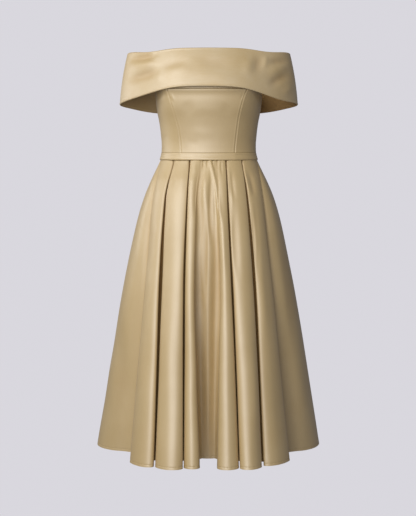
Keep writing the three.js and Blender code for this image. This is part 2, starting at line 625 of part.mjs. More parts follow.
// Both faces of the band as closed rings, from the lower edge up, over the fold and down the leg
function bandRings() {
  const sections = bandSections();
  const radius = FOLD_THICKNESS / 2;
  const topLine = sections.map((row) => new THREE.Vector2(row.topAcross, row.topDepth));
  const inward = outwardOf(topLine).map((outward) => outward.normalize().negate());
  const face = (inset) => {
    const bend = radius - inset;
    const rows = [];
    for (const rise of [0, 0.25, 0.5, 0.75]) {
      rows.push(sections.map((row, i) => {
        const low = new THREE.Vector2(row.across, row.depth).addScaledVector(inward[i], inset);
        const high = topLine[i].clone().addScaledVector(inward[i], inset);
        const plan = low.lerp(high, rise).addScaledVector(inward[i], -BAND_BELLY * 4 * rise * (1 - rise));
        return new THREE.Vector3(plan.x, -plan.y, lerp(row.low, row.top - radius, rise));
      }));
    }
    for (const turn of [0, 45, 90, 135, 180].map(radians)) {
      rows.push(sections.map((row, i) => {
        const plan = topLine[i].clone().addScaledVector(inward[i], radius - bend * Math.cos(turn));
        return new THREE.Vector3(plan.x, -plan.y, row.top - radius + bend * Math.sin(turn));
      }));
    }
    for (const drop of [0.55, 1]) {
      rows.push(sections.map((row, i) => {
        const free = topLine[i].clone().addScaledVector(inward[i], FOLD_THICKNESS);
        const end = legEnd(free.x, row.topDepth, free);
        const plan = free.lerp(end, drop).addScaledVector(inward[i], -inset);
        return new THREE.Vector3(plan.x, -plan.y, lerp(row.top - radius, TOP_EDGE + SEAM_GAP, drop));
      }));
    }
    return rows;
  };
  return { outer: face(0), inner: face(BAND_WALL), count: sections.length };
}

function band() {
  const group = new THREE.Group();
  const rings = bandRings();
  const side = BAND_SECTIONS.findIndex((row) => row.depth < 0) * COLUMNS_PER_SECTION - 1;
  const halves = {
    band_front: [rings.count - side, rings.count + side],
    band_back: [side, rings.count - side],
  };
  for (const [name, [from, to]] of Object.entries(halves)) {
    const wall = { outer: cutFromRing(rings.outer, from, to), inner: cutFromRing(rings.inner, from, to) };
    group.add(piece(name, wallGeometry(wall), BAND_SATIN));
  }
  return group;
}

// A point on a line at a length from one of its points, forwards or backwards
function alongLine(line, start, length) {
  const heading = Math.sign(length);
  let left = Math.abs(length);
  let i = start;
  while (left > 0) {
    const next = (i + heading + line.length) % line.length;
    const span = line[i].distanceTo(line[next]);
    if (span >= left) return line[i].clone().lerp(line[next], left / span);
    left -= span;
    i = next;
  }
  return line[i].clone();
}

// The tape lies inside the left side seam, across bodice, waistband and skirt
function zipTape() {
  const bodiceHeights = steps(UNDERARM - SEAM_GAP, WAISTBAND_HALF + SEAM_GAP, BODICE_ROWS);
  const waistHeights = [WAISTBAND_HALF, 0, -WAISTBAND_HALF];
  const falls = SKIRT_LEVELS.map((level) => level.fall).filter((fall) => fall > WAISTBAND_HALF + 1 && fall <= ZIP_FALL);
  const face = (inset) => {
    const upper = [...bodiceHeights, ...waistHeights].map((z) => [-1, 0, 1].map((side) => {
      return bodicePoint(z, shifted(SIDE_SEAM, side * TAPE_HALF_WIDTH), inset);
    }));
    const lower = falls.map((fall) => {
      const front = frontLine(fall);
      const line = insetLine([...front, ...backLine(fall)], inset);
      return [-1, 0, 1].map((side) => {
        const point = alongLine(line, front.length - 1, side * TAPE_HALF_WIDTH);
        return new THREE.Vector3(point.x, -point.y, -fall);
      });
    });
    return [...upper, ...lower];
  };
  const nearest = WALL + TAPE_CLEARANCE;
  const wall = { outer: face(nearest), inner: face(nearest + TAPE_THICKNESS) };
  return piece('zip_tape', wallGeometry(wall), TAPE);
}

// A closed outline in the X-Z plane, drawn out to a width along Y about the middle
function acrossY(shape, width) {
  const geometry = new THREE.ExtrudeGeometry(shape, { depth: width, bevelEnabled: false, curveSegments: 6 });
  geometry.translate(0, 0, -width / 2);
  geometry.rotateX(Math.PI / 2);
  return geometry;
}

function outline(corners) {
  return new THREE.Shape(corners.map(([x, z]) => new THREE.Vector2(x, z)));
}

const wasm = await Module();
wasm.setup();

function solidOf(geometry) {
  const bare = geometry.clone();
  bare.deleteAttribute('normal');
  bare.deleteAttribute('uv');
  const merged = mergeVertices(bare);
  const mesh = new wasm.Mesh({
    numProp: 3,
    vertProperties: new Float32Array(merged.attributes.position.array),
    triVerts: new Uint32Array(merged.index.array),
  });
  return new wasm.Manifold(mesh);
}

function geometryOf(solid) {
  const { vertProperties, triVerts } = solid.getMesh();
  const geometry = new THREE.BufferGeometry();
  geometry.setAttribute('position', new THREE.BufferAttribute(vertProperties, 3));
  geometry.setIndex(new THREE.BufferAttribute(triVerts, 1));
  geometry.computeVertexNormals();
  return geometry;
}

// The slider hooks over the underarm edge: a leg inside, a crown, and an ear outside whose two
// cheeks hold the bar that the pull tab hangs on. Its origin is on the cloth at the edge.
function zipSlider() {
  const { width, legFrom, legTo, legDrop, crown, earFrom, earTo, earDrop } = SLIDER;
  const floor = SEAM_GAP;
  const hook = acrossY(outline([
    [legFrom, -legDrop], [legTo, -legDrop], [legTo, floor], [earFrom, floor],
    [earFrom, -earDrop], [earTo, -earDrop], [earTo, floor + crown], [legFrom, floor + crown],
  ]), width);
  let solid = solidOf(hook);
  const { out, below, radius, cheek, cheekReach } = PULL_BAR;
  const cheekShape = outline([
    [earTo - 0.5, -below - cheekReach], [out + cheekReach, -below - cheekReach],
    [out + cheekReach, -below + cheekReach], [earTo - 0.5, -below + cheekReach],
  ]);
  for (const side of [-1, 1]) {
    const plate = acrossY(cheekShape, cheek);
    plate.translate(0, (side * (width - cheek)) / 2, 0);
    solid = solid.add(solidOf(plate));
  }
  const bar = new THREE.CylinderGeometry(radius, radius, width - cheek, 12);
  bar.translate(out, 0, -below);
  return piece('zip_slider', geometryOf(solid.add(solidOf(bar))), METAL);
}

// The pull tab: an eye round the slider's bar and a flat tail. Its origin is on the bar's axis.
function zipPull() {
  const { width, eyeRadius, holeRadius, thickness, length } = PULL;
  const shape = new THREE.Shape();
  const meet = Math.asin(thickness / 2 / eyeRadius);
  shape.absarc(0, 0, eyeRadius, -Math.PI / 2 + meet, (3 * Math.PI) / 2 - meet, false);
  shape.lineTo(-thickness / 2, -length);
  shape.lineTo(thickness / 2, -length);
  const hole = new THREE.Path();
  hole.absarc(0, 0, holeRadius, 0, Math.PI * 2, true);
  shape.holes.push(hole);
  return piece('zip_pull', acrossY(shape, width), METAL);
}

function zip() {
  const group = new THREE.Group();
  const top = bodicePoint(UNDERARM, SIDE_SEAM, 0);
  const slider = zipSlider();
  slider.position.copy(top);
  const pull = zipPull();
  pull.position.set(top.x + PULL_BAR.out, top.y, top.z - PULL_BAR.below);
  group.add(zipTape(), slider, pull);
  return group;
}

const group = new THREE.Group();
group.add(band(), bodice(), waistband(), skirt(), zip());

export default group;
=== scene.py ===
"""Off-the-shoulder satin midi dress: folded band, fitted bodice, waistband, pleated skirt, side zip.

Sizes in the tables are millimetres, +Z up, the front faces -Y and the wearer's left is +X. "Depth"
is how far a point lies in front of the body's axis, so -Y, and "fall" how far it hangs below Z 0.
"""

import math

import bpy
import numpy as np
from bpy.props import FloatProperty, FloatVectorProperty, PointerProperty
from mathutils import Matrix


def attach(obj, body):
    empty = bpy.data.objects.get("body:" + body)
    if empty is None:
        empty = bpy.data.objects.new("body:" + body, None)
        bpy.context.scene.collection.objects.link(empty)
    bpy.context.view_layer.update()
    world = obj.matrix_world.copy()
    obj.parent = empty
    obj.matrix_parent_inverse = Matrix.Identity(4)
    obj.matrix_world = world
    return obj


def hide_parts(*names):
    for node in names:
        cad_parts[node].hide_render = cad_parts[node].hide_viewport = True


bl_info = {
    "name": "Folded-band satin dress",
    "version": (1, 0, 0),
    "blender": (4, 5, 0),
    "location": "View3D > Sidebar > Dress",
    "description": "Cuts, folds and sews an off-the-shoulder satin dress on its worn form",
    "category": "Add Mesh",
}

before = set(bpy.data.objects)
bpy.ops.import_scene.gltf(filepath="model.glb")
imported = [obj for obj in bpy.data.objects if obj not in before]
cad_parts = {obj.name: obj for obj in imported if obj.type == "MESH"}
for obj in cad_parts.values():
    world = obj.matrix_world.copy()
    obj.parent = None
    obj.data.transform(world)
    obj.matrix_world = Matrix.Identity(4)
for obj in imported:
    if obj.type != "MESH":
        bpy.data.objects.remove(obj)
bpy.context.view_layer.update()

MM = 0.001
DRESS_BODY = "dress"

# Heights and seams
TOP_EDGE = 236.0
UNDERARM = 185.0
WAISTBAND_HALF = 9.7
WAISTBAND_PROUD = 0.8
WAISTBAND_TILT = 1.8
WAISTBAND_ROLL = 1.5
WAIST_DIP = 7.4
DIP_STARTS_SOFTLY_OVER = 40.0
DIP_FADES_OVER = 60.0
HEM_FALL = 765.0
SEAM_GAP = 0.3
BODICE_WALL = 1.2

# Half the gap at a seam, measured in the places round the body that are listed below
PANEL_GAP = 0.0012
WAISTBAND_GAP = 0.001

# The bodice's rolled edge that shows just under the band: its height over the waist, how far it
# rises to the princess seams and on to the sides, and the places round the body where it fades
LIP_HEIGHT = 160.3
LIP_RISE_TO_PRINCESS = 2.1
LIP_RISE_TO_SIDE = 3.6
LIP_ROLL = 3.0
LIP_ENDS = (1.05, 1.45)
LIP_LEVELS_AT = 1.9
ABOVE_LIP = 5.0
BELOW_LIP = 9.0

# Places round the bodice: 0 front centre, 1 princess seam, 2 side, 3 back centre
PRINCESS = 1.0
SIDE_SEAM = 2.05
BACK_CENTRE = 3.0
UNDERARM_FROM = 1.95
UNDERARM_TO = 2.16
BACK_TOP_FROM = 2.75

BODICE_COLUMNS = ("z", "half_width", "front", "back", "seam_right", "seam_left", "sag", "turn")
BODICE_LEVELS = (
    (-14, 128.0, 97, 88, 72.0, 67.0, 11, 25),
    (10, 125.2, 95, 86, 72.0, 67.0, 11, 25),
    (25, 124.5, 96, 86, 72.6, 68.2, 11, 26),
    (60, 127.0, 103, 90, 77.0, 72.0, 11, 28),
    (90, 131.0, 112, 95, 85.0, 76.0, 12, 30),
    (115, 136.0, 121, 99, 92.5, 81.5, 12, 31),
    (140, 139.5, 127, 103, 100.5, 88.5, 13, 32),
    (165, 141.2, 130, 105, 106.0, 97.0, 14, 32),
    (190, 142.0, 126, 105, 110.0, 103.0, 18, 32),
    (215, 141.2, 117, 103, 112.0, 108.0, 22, 31),
    (240, 140.0, 107, 100, 113.0, 111.0, 20, 30),
)
BACK_ROUND = 2.1

# The band, a row for each section from the front centre round the side to the back centre. Its
# lower edge droops a little on the wearer's left.
BAND_COLUMNS = ("across", "depth", "low", "droop", "top_across", "top_depth", "top")
BAND_SECTIONS = (
    (0, 142, 166.2, 0, 0, 105, 270.3),
    (48, 141, 166.2, 0.4, 46, 103.5, 270.0),
    (90, 134, 164.6, 2, 84, 97, 270.3),
    (128, 118, 158.2, 4.6, 118, 87.5, 267.6),
    (163, 98, 150.2, 6.6, 148, 77, 264.4),
    (193, 76, 143.8, 6.8, 176, 61, 266.0),
    (221, 41, 139.6, 2, 202, 37, 270.6),
    (239, 0, 136.4, 0, 219, 0, 273.6),
    (229, -29, 134.5, 0, 210, -29, 275.4),
    (205, -58, 132.0, 0, 187, -55, 276.4),
    (172, -90, 128.2, 0, 155, -77, 276.8),
    (128, -113, 125.8, 0, 116, -92, 276.8),
    (70, -122, 125.4, 0, 64, -101, 277.0),
    (0, -125, 125.4, 0, 0, -105, 277.0),
)
FOLD_THICKNESS = 9.0
BAND_BELLY = 3.0
BEAD = 0.9
BEAD_WIDTH = 1.6
BEAD_OVER_EDGE = 2.2
EDGE_WIDTH = 0.9
BAND_STITCHES_OVER_EDGE = 8.0
# From the first width the inner leg leaves the bodice, and past the second it hangs free
LEG_LEAVES = {"front": (104.0, 150.0), "back": (82.0, 135.0)}

# The skirt's outer form, a row for each level
SKIRT_COLUMNS = ("fall", "half_width", "fold_width", "front", "back", "round")
SKIRT_LEVELS = (
    (10, 127.6, 127.6, 97, 88, 2.25),
    (22, 133.0, 133.0, 103, 93, 2.25),
    (40, 141.6, 141.5, 113, 103, 2.25),
    (65, 153.4, 153.0, 127, 116, 2.3),
    (100, 168.0, 166.0, 144, 133, 2.3),
    (150, 184.0, 179.0, 162, 152, 2.3),
    (220, 201.4, 189.0, 183, 171, 2.35),
    (310, 219.6, 201.0, 204, 194, 2.4),
    (420, 240.4, 214.0, 229, 217, 2.45),
    (540, 260.4, 228.0, 251, 239, 2.5),
    (660, 280.4, 240.0, 274, 258, 2.5),
    (HEM_FALL, 298.0, 250.0, 297, 272, 2.5),
)
SKIRT_BACK_ROUND = 2.2

# The lists below hold a value at the waist, hip, thigh, calf and hem
STATIONS = (17, 120, 345, 550, HEM_FALL)
FRONT_AIM = (0.7, 0.2, 0, 0, 0)
BACK_AIM = (0.6, 0.4, 0.4, 0.4, 0.4)
VALLEY_COLUMNS = ("x", "gap", "deep", "belly")
FRONT_VALLEYS = (
    ((-91.5, -110.5, -120, -125, -131), (2.4, 4.8, 8.5, 6.5, 4.0), (9, 20, 52, 72, 90), 6),
    ((-49.3, -54.6, -60.9, -61.3, -61.5), (2.4, 3.6, 5.6, 4.4, 2.8), (9, 20, 56, 84, 108), 5),
    ((44.5, 48, 57.9, 66, 73), (2.6, 3.8, 5.4, 4.2, 2.8), (9, 20, 54, 80, 104), 5),
    ((86.4, 98.1, 114, 122.5, 130.1), (2.6, 5.4, 7.4, 6.2, 5.2), (9, 20, 48, 62, 76), 6),
)
RECESS = {"left": (-21, -31, -36, -30, -22.4), "right": (22, 25, 27, 24, 20), "deep": (1.8, 8, 45, 90, 137)}
RECESS_COLUMNS = ("x", "lift")
RECESS_LINES = (
    ((-10.5, -19, -24, -21, -17), (0.2, 0.2, 0, 0, 0.2)),
    ((-7, -14, -17.5, -15, -12), (0.4, 1.4, 1.4, 1.4, 0.7)),
    ((-3.5, -8, -10, -9, -7), (0.8, 1.8, 5, 5, 1.4)),
    ((0, -1, -2, -2, -1), (1, 3, 8, 8, 2)),
    ((4, 5, 6, 5, 4), (0.8, 1.8, 5, 5, 1.4)),
    ((8, 10, 11.5, 10.5, 9), (0.4, 1.4, 1.4, 1.4, 0.7)),
    ((12, 15, 17.5, 16, 14), (0.2, 0.2, 0, 0, 0.2)),
)
LEVEL = (0, 0, 0, 0, 0)
FOLD_COLUMNS = ("sink", "round")
FRONT_FOLDS = (
    (LEVEL, (2.2, 4.5, 9, 13, 19)),
    (LEVEL, (2.2, 4.5, 9, 14, 20)),
    ((0, 0.5, 6, 12, 17), (2.0, 3.6, 7, 11, 14)),
    ((0, 0.5, 2, 4, 7), (2.0, 3.6, 8, 14, 19)),
    (LEVEL, (2.2, 4.5, 10, 15, 21)),
    ((0, 0.5, 6, 12, 16), (2.2, 4, 7, 11, 15)),
)
RIGHT_SIDE = {
    "edge": (125, 142, 161, 177, 194), "step": (10, 17, 42, 90, 140),
    "tuck": (-2, -3, 2, 3, 4), "widest": (0, -2, -12, -24, -38),
}
LEFT_SIDE = {
    "edge": (124.6, 136, 160, 179, 200), "step": (10, 17, 38, 82, 130),
    "tuck": (-2, -3, 2, 3, 4), "widest": (0, -3, -18, -36, -56),
}
SEAM_BEHIND_WIDEST = (7.5, 9, 12, 16, 20)
BACK_VALLEYS = (
    ((99, 124, 156, 183, 208), (1, 5, 9, 9, 8), (5, 13, 32, 44, 54), 5),
    ((60, 73, 90, 104, 117), (1, 5, 9, 11, 12), (6, 18, 44, 60, 74), 5),
    ((20, 26, 34, 40, 44), (1, 4, 8, 8, 9), (6, 19, 50, 70, 86), 5),
    ((-20, -25, -32, -36, -38), (1, 4, 7, 6, 5), (6, 20, 52, 74, 92), 5),
    ((-58, -70, -86, -96, -108), (1, 5, 9, 9, 8), (6, 18, 46, 64, 80), 5),
    ((-98, -122, -152, -176, -200), (1, 5, 10, 12, 12), (5, 14, 34, 46, 56), 5),
)
BACK_FOLD = (LEVEL, (1.2, 3, 7, 11, 15))

# Shapes of the line round the skirt. A crest's points are along the fold and how far it rounds
# down, a valley's are side, widening and how deep.
CREST_PROFILE = ((0, 1), (0.08, 0.56), (0.25, 0.18), (0.5, 0), (0.75, 0.18), (0.92, 0.56), (1, 1))
VALLEY_PROFILE = (
    (-1, 0.2, 0.32), (-1, 1, 0.72), (-0.6, 1, 0.95), (0, 0, 1), (0.6, 1, 0.95), (1, 1, 0.72), (1, 0.2, 0.32),
)
FLANK_SHARES = (0.45, 0.88)
SIDE_BACK_PROFILE = ((0.3, 0), (0.6, 0), (0.85, 0.2), (1, 1))
LOBE_TURNS = (90, 70, 50, 30, 12)
LOBE_SQUARENESS = 0.95
STEP_SHARES = (0.12, 0.5)
PLEAT_GAPE = 2.4
GAPE_FALL = 12.0
GAPE_REACH = 24.0

# Painted shade: how far the satin's colour is darkened to a warm brown to stand in for shade, from 0 in the
# open to 1 deep in a fold or on the cloth's inside
MOUTH_SHADE = 0.4
CREST_SHADE = 0.2
STEP_SHADE = 0.15
RECESS_SHADE = 0.16
TROUGH_SHADE = 0.3
INSIDE_SHADE = 0.6
# Painted shade on the band's inside: light on the wearer's right, dark on the wearer's left
BAND_INSIDE_SHADE = (0.35, 1.0)

# Creases: from and to as across and height, half width, and depth, which is minus
# for a trough and plus for a ridge. Each bows by up to a share of its length, and fades over a
# share of it at both ends, near side seams and in the skirt's folds.
CREASE_BOW = 0.05
CREASE_TAPER = 0.42
SWAY = 0.8
SEAM_CLEARANCE = 20.0
SMOOTH_WHERE_HIDDEN = 2.4
BAND_FRONT_CREASES = (
    (-216, 252, -118, 257, 9, -5.4),
    (-218, 194, -112, 214, 12, -6.0),
    (-220, 228, -114, 230, 10, 2.4),
    (-136, 224, -124, 170, 14, 2.4),
    (-132, 216, -46, 237, 11, -2.0),
    (-120, 198, -30, 214, 14, 1.4),
    (-152, 268, -126, 238, 7, 1.6),
    (132, 262, 116, 196, 13, -3.0),
    (148, 258, 138, 214, 6, 1.6),
    (108, 250, 98, 186, 14, 2.0),
    (150, 236, 212, 246, 9, -3.4),
    (218, 214, 148, 170, 11, -4.2),
    (212, 232, 146, 206, 12, 2.4),
    (220, 186, 186, 152, 9, 1.8),
    (-40, 240, 70, 226, 14, -1.4),
    (-60, 200, 80, 188, 16, 1.4),
)
BAND_BACK_CREASES = (
    (-228, 200, -84, 246, 14, -2.6),
    (-216, 236, -96, 216, 14, 2.0),
    (-70, 176, 50, 196, 16, 1.6),
    (44, 250, 170, 216, 14, -2.2),
    (110, 186, 226, 226, 13, 2.2),
    (214, 256, 112, 186, 13, -2.4),
    (-224, 186, -124, 156, 12, -1.8),
)
BODICE_FRONT_CREASES = (
    (-101, 150, -92, 126, 2.6, -1.0),
    (-96, 152, -87, 130, 2.6, 0.7),
    (80, 136, 90, 151, 3, -0.8),
    (-52, 60, 18, 44, 13, 0.6),
    (-60, 30, -20, 22, 9, -0.6),
    (-66, 130, -40, 96, 14, -1.0),
    (52, 126, 36, 96, 14, -0.9),
)
BODICE_SIDE_CREASES = (
    (118, 160, 134, 138, 6, -0.9),
    (112, 150, 134, 132, 7, 0.8),
    (104, 44, 126, 32, 6, -0.8),
    (-118, 158, -134, 140, 6, -0.9),
    (-112, 148, -134, 128, 7, 0.8),
    (-104, 50, -126, 34, 6, -0.8),
)
BODICE_BACK_CREASES = (
    (-46, 14, -54, 128, 2.6, -1.1),
    (46, 14, 54, 128, 2.6, -1.1),
    (-60, 40, 44, 30, 8, -0.8),
    (-90, 66, 10, 58, 9, 0.7),
    (20, 84, 100, 70, 9, -0.7),
    (-30, 196, 60, 188, 14, 0.6),
)
WAISTBAND_CREASES = (
    (-108, 2.5, -34, 0.5, 1.6, -0.8),
    (-96, -3.5, -58, -3.0, 1.4, 0.45),
    (56, 1.0, 104, 2.5, 1.5, -0.4),
    (-20, -3.0, 24, -2.5, 1.6, 0.3),
)
SKIRT_FRONT_CREASES = (
    (0, 0, 23, -106, 4.5, 3.0),
    (14, -50, 35, -196, 5.5, 3.4),
    (33, -140, 38, -330, 6, 2.0),
    (-6, -40, -5, -168, 8, 3.0),
    (-3, -120, -1, -430, 5, 2.2),
    (8, -44, 17, -256, 7, -3.6),
    (15, -160, 18, -470, 9, -3.6),
    (-17, -16, -24, -186, 9, -4.2),
    (-22, -90, -27, -420, 12, -4.0),
    (33.5, -10, 34.5, -60, 2.6, -1.2),
    (-14.5, -4, -16, -44, 2.4, -1.6),
    (-2.5, -4, -3, -38, 2.2, -1.4),
    (9, -4, 10, -40, 2.2, -1.2),
    (21, -4, 20, -36, 2.4, -1.2),
    (-33, -10, -36, -60, 6, 0.8),
    (-90, -34, -97, -98, 3, -1.3),
    (-97, -90, -105, -210, 3.6, -1.5),
    (-64, -16, -70, -120, 7, 0.8),
    (59, -38, 66, -124, 6, -2.6),
    (66, -112, 75, -340, 9, -2.6),
    (49, -28, 58, -152, 3, 1.3),
    (58, -144, 66, -330, 3.6, 1.4),
    (90, -22, 106, -112, 3.2, 1.5),
    (106, -104, 118, -310, 4, 1.6),
    (99, -38, 116, -120, 6, -2.6),
    (116, -112, 129, -330, 9, -2.8),
    (118, -200, 138, -500, 9, 1.6),
    (-150, -120, -166, -330, 12, -2.2),
    (-182, -210, -214, -560, 16, 2.2),
    (-226, -420, -250, -720, 14, -2.4),
    (176, -170, 214, -520, 15, -2.2),
    (228, -430, 262, -740, 14, 2.2),
    (-92, -380, -98, -700, 13, 1.8),
    (94, -420, 100, -740, 12, 1.6),
    (-34, -330, -44, -620, 9, 1.4),
)
SKIRT_BACK_CREASES = (
    (0, -20, 4, -160, 8, 1.6),
    (38, -40, 52, -260, 9, -1.8),
    (-44, -60, -58, -280, 10, 1.8),
    (84, -40, 104, -240, 9, 1.6),
    (-84, -50, -108, -260, 10, -2.0),
    (70, -330, 78, -640, 14, -2.2),
    (-66, -380, -74, -700, 13, 2.0),
    (150, -260, 176, -600, 14, 2.0),
    (-170, -300, -200, -640, 15, -2.2),
)

# Rows and columns of the cloth shells, and how much closer they are at seams and waist
SEAM_CROWDING = 0.75
WAIST_CROWDING = 1.3
SKIRT_ROWS = 84
RING_REFINES = 4
BAND_REFINES = 10
BAND_SOFTENING = (1, 2, 3, 4)
HEM_ROWS = (11, 9, 8, 7.2, 6.6, 6.0, 5.4, 4.8, 4.0, 2.8, 1.6, 0.8, 0)
HEM_ROWS_FROM = 14.0
BAND_RISES = (0, 0.006, 0.012, 0.02, 0.03, 0.042, 0.056, 0.072, 0.09)
BAND_RISE_ROWS = 34
BAND_FOLD_ROWS = 15
BAND_LEG_ROWS = 9
PANEL_ROWS = (22, 24, 40)
WAISTBAND_ROWS = 21

# Sewing
STITCH_PITCH = 1.3
STITCH_RADIUS = 0.26
STITCH_PROUD = 0.02
HEM_STITCHES_OVER_EDGE = 6.0
HEM_GROOVE = 0.45
PUCKER = 0.3
PUCKER_LENGTH = 12.5
COIL_FROM_FOOT = 3.0
COIL_BELOW_TOP = 14.0
COIL_PITCH = 1.5
COIL_HALF_WIDTH = 1.7
COIL_RADIUS = 0.42
COIL_BEHIND_TAPE = 0.9

# Camera and lights: places and sizes in metres, the sensor in millimetres
SENSOR_WIDTH = 36
CAMERA_ASIDE = -0.0021
CAMERA_HEIGHT = -0.208
CAMERA_SHIFT_UP = -0.0446
LIGHTS = {
    "key": {"place": (-1.15, -1.6, 1.35), "aim": (0, 0, -0.05), "size": 1.5, "tint": (1.0, 0.98, 0.95)},
    "fill": {"place": (-0.55, -3.0, 0.2), "aim": (0, 0, -0.3), "size": 1.9, "tint": (1.0, 0.97, 0.94)},
    "rim": {"place": (-1.4, 0.2, 0.4), "aim": (0, 0, 0.15), "size": 0.9, "tint": (0.98, 0.98, 1.0)},
}


def smooth_curve(at, values):
    """A smooth curve through a table's values that stays between neighbouring ones"""
    at = np.asarray(at, float)
    values = np.asarray(values, float)
    slopes = np.diff(values) / np.diff(at)
    tangents = np.zeros_like(values)
    tangents[0], tangents[-1] = slopes[0], slopes[-1]
    for i in range(1, len(at) - 1):
        if slopes[i - 1] * slopes[i] > 0:
            tangents[i] = 2 * slopes[i - 1] * slopes[i] / (slopes[i - 1] + slopes[i])

    def curve(wanted):
        x = np.clip(wanted, at[0], at[-1])
        i = np.clip(np.searchsorted(at, x, side="right") - 1, 0, len(at) - 2)
        span = at[i + 1] - at[i]
        t = (x - at[i]) / span
        rise = t * t * (3 - 2 * t)
        lean = t * (1 - t) * span * ((1 - t) * tangents[i] - t * tangents[i + 1])
        return values[i] + (values[i + 1] - values[i]) * rise + lean

    return curve


def table_curves(rows, names):
    """One curve over the first column for each other column of a table"""
    columns = list(zip(*rows))
    curves = {name: smooth_curve(columns[0], column) for name, column in zip(names[1:], columns[1:])}
    return lambda place: {name: curve(place) for name, curve in curves.items()}


def over_stations(columns, row, **more):
    """A row whose lists run from waist to hem becomes a row of curves over the fall"""
    def curved(value):
        return smooth_curve(STATIONS, value) if isinstance(value, tuple) else value

    return {name: curved(value) for name, value in (*zip(columns, row), *more.items())}


bodice_size = table_curves(BODICE_LEVELS, BODICE_COLUMNS)
skirt_size = table_curves(SKIRT_LEVELS, SKIRT_COLUMNS)
front_valleys = [over_stations(VALLEY_COLUMNS, row, aim=FRONT_AIM) for row in FRONT_VALLEYS]
recess = over_stations((), (), **RECESS)
front_valleys.insert(len(front_valleys) // 2, recess)
recess_lines = [over_stations(RECESS_COLUMNS, row) for row in RECESS_LINES]
front_folds = [over_stations(FOLD_COLUMNS, row) for row in FRONT_FOLDS]
back_valleys = [over_stations(VALLEY_COLUMNS, row, aim=BACK_AIM) for row in BACK_VALLEYS]
back_fold = over_stations(FOLD_COLUMNS, BACK_FOLD)
right_side = over_stations((), (), **RIGHT_SIDE)
left_side = over_stations((), (), **LEFT_SIDE)
seam_behind_widest = smooth_curve(STATIONS, SEAM_BEHIND_WIDEST)


def lerp(a, b, t):
    return a + (b - a) * t


def smoothstep(x, low, high):
    t = np.clip((x - low) / (high - low), 0, 1)
    return t * t * (3 - 2 * t)


def unit(vectors):
    return vectors / np.maximum(np.linalg.norm(vectors, axis=-1, keepdims=True), 1e-9)


def quarter_oval(x, half_width, roundness):
    return np.maximum(0, 1 - (np.abs(x) / half_width) ** roundness) ** (1 / roundness)


def waist_dip(depth):
    """How far the waist line dips: it slopes down to the front, and is level behind the sides"""
    def slope(ahead):
        return ahead**2 / (ahead + DIP_STARTS_SOFTLY_OVER)

    return WAIST_DIP * slope(np.maximum(0, depth)) / slope(bodice_size(0)["front"])


def body_points(z, place, inset=0.0):
    """Points of the fitted body at heights and places round it, moved in by inset"""
    z, place = np.broadcast_arrays(np.asarray(z, float), np.asarray(place, float))
    size = bodice_size(z)
    sign = np.where(place < 0, -1.0, 1.0)
    p = np.abs(place)
    seam = np.where(sign < 0, size["seam_right"], size["seam_left"]) - inset * 0.3
    half_width = size["half_width"] - inset
    seam_depth = size["front"] - size["sag"] - inset
    front_x = p * seam
    front_depth = size["front"] - inset - size["sag"] * p * p
    t = np.clip(p - PRINCESS, 0, 1)
    pull = seam_depth - (half_width - seam) * np.tan(np.radians(size["turn"]))
    side_x = (1 - t) ** 2 * seam + (1 - (1 - t) ** 2) * half_width
    side_depth = (1 - t) ** 2 * seam_depth + 2 * t * (1 - t) * pull
    turn = np.clip(p - 2, 0, 1) * math.pi / 2
    back_x = half_width * np.abs(np.cos(turn)) ** (2 / BACK_ROUND)
    back_depth = -(size["back"] - inset) * np.sin(turn) ** (2 / BACK_ROUND)
    on_front, on_side = p <= PRINCESS, p <= 2
    x = np.where(on_front, front_x, np.where(on_side, side_x, back_x))
    depth = np.where(on_front, front_depth, np.where(on_side, side_depth, back_depth))
    return np.stack([sign * x, -depth, z], axis=-1)


def bodice_top(place):
    """The top edge is level in front and behind and sinks to the underarm at the sides"""
    p = np.abs(place)
    front = smoothstep(p, PRINCESS, UNDERARM_FROM)
    back = smoothstep(p, UNDERARM_TO, BACK_TOP_FROM)
    return lerp(TOP_EDGE, UNDERARM, front * (1 - back))


def dip_at(place):
    """The waist line's dip at places round the body"""
    return waist_dip(-body_points(np.zeros_like(place), place)[..., 1])


def places_between(start, end, count):
    """Places round the body from start to end, closer together at both seams"""
    t = np.linspace(0, 1, count)[None, :]
    place = lerp(start, end, t - SEAM_CROWDING * np.sin(2 * math.pi * t) / (2 * math.pi))
    return np.where(place <= BACK_CENTRE, place, place - 2 * BACK_CENTRE)


def outward_of(line):
    """Outward direction at each point of a closed line seen from above, whose inside is on its right"""
    along = unit(line - np.roll(line, 1, axis=0)) + unit(np.roll(line, -1, axis=0) - line)
    along = unit(along)
    return np.stack([-along[:, 1], along[:, 0]], axis=1)


def front_depth(x, fall):
    size = skirt_size(fall)
    return size["front"] * quarter_oval(x, size["fold_width"], size["round"])


def back_depth(x, fall):
    size = skirt_size(fall)
    share = np.clip((x / size["half_width"] + 1) / 2, 0, 1)
    widest = lerp(right_side["widest"](fall), left_side["widest"](fall), share)
    return widest - (size["back"] + widest) * quarter_oval(x, size["half_width"], SKIRT_BACK_ROUND)


def fold_crest(fold, start, end, fall, form_depth, outward_sign):
    """A fold's outside. Points of the skirt's line are across, depth and how much painted shade they get."""
    points = []
    for along, rounding in CREST_PROFILE:
        x = lerp(start, end, along)
        low = fold["sink"](fall) + fold["round"](fall) * rounding
        points.append((x, form_depth(x, fall) - outward_sign * low, CREST_SHADE * rounding**2))
    return points


def gap_at(valley, fall):
    """Width of a valley's mouth: the pleats gape a little where they leave the waistband"""
    return valley["gap"](fall) + PLEAT_GAPE * math.exp(-(((fall - GAPE_FALL) / GAPE_REACH) ** 2))


def mouth_ends(valley, fall):
    """Where a valley's mouth starts and ends across the skirt"""
    x, half = valley["x"](fall), gap_at(valley, fall) / 2
    return x - half, x + half


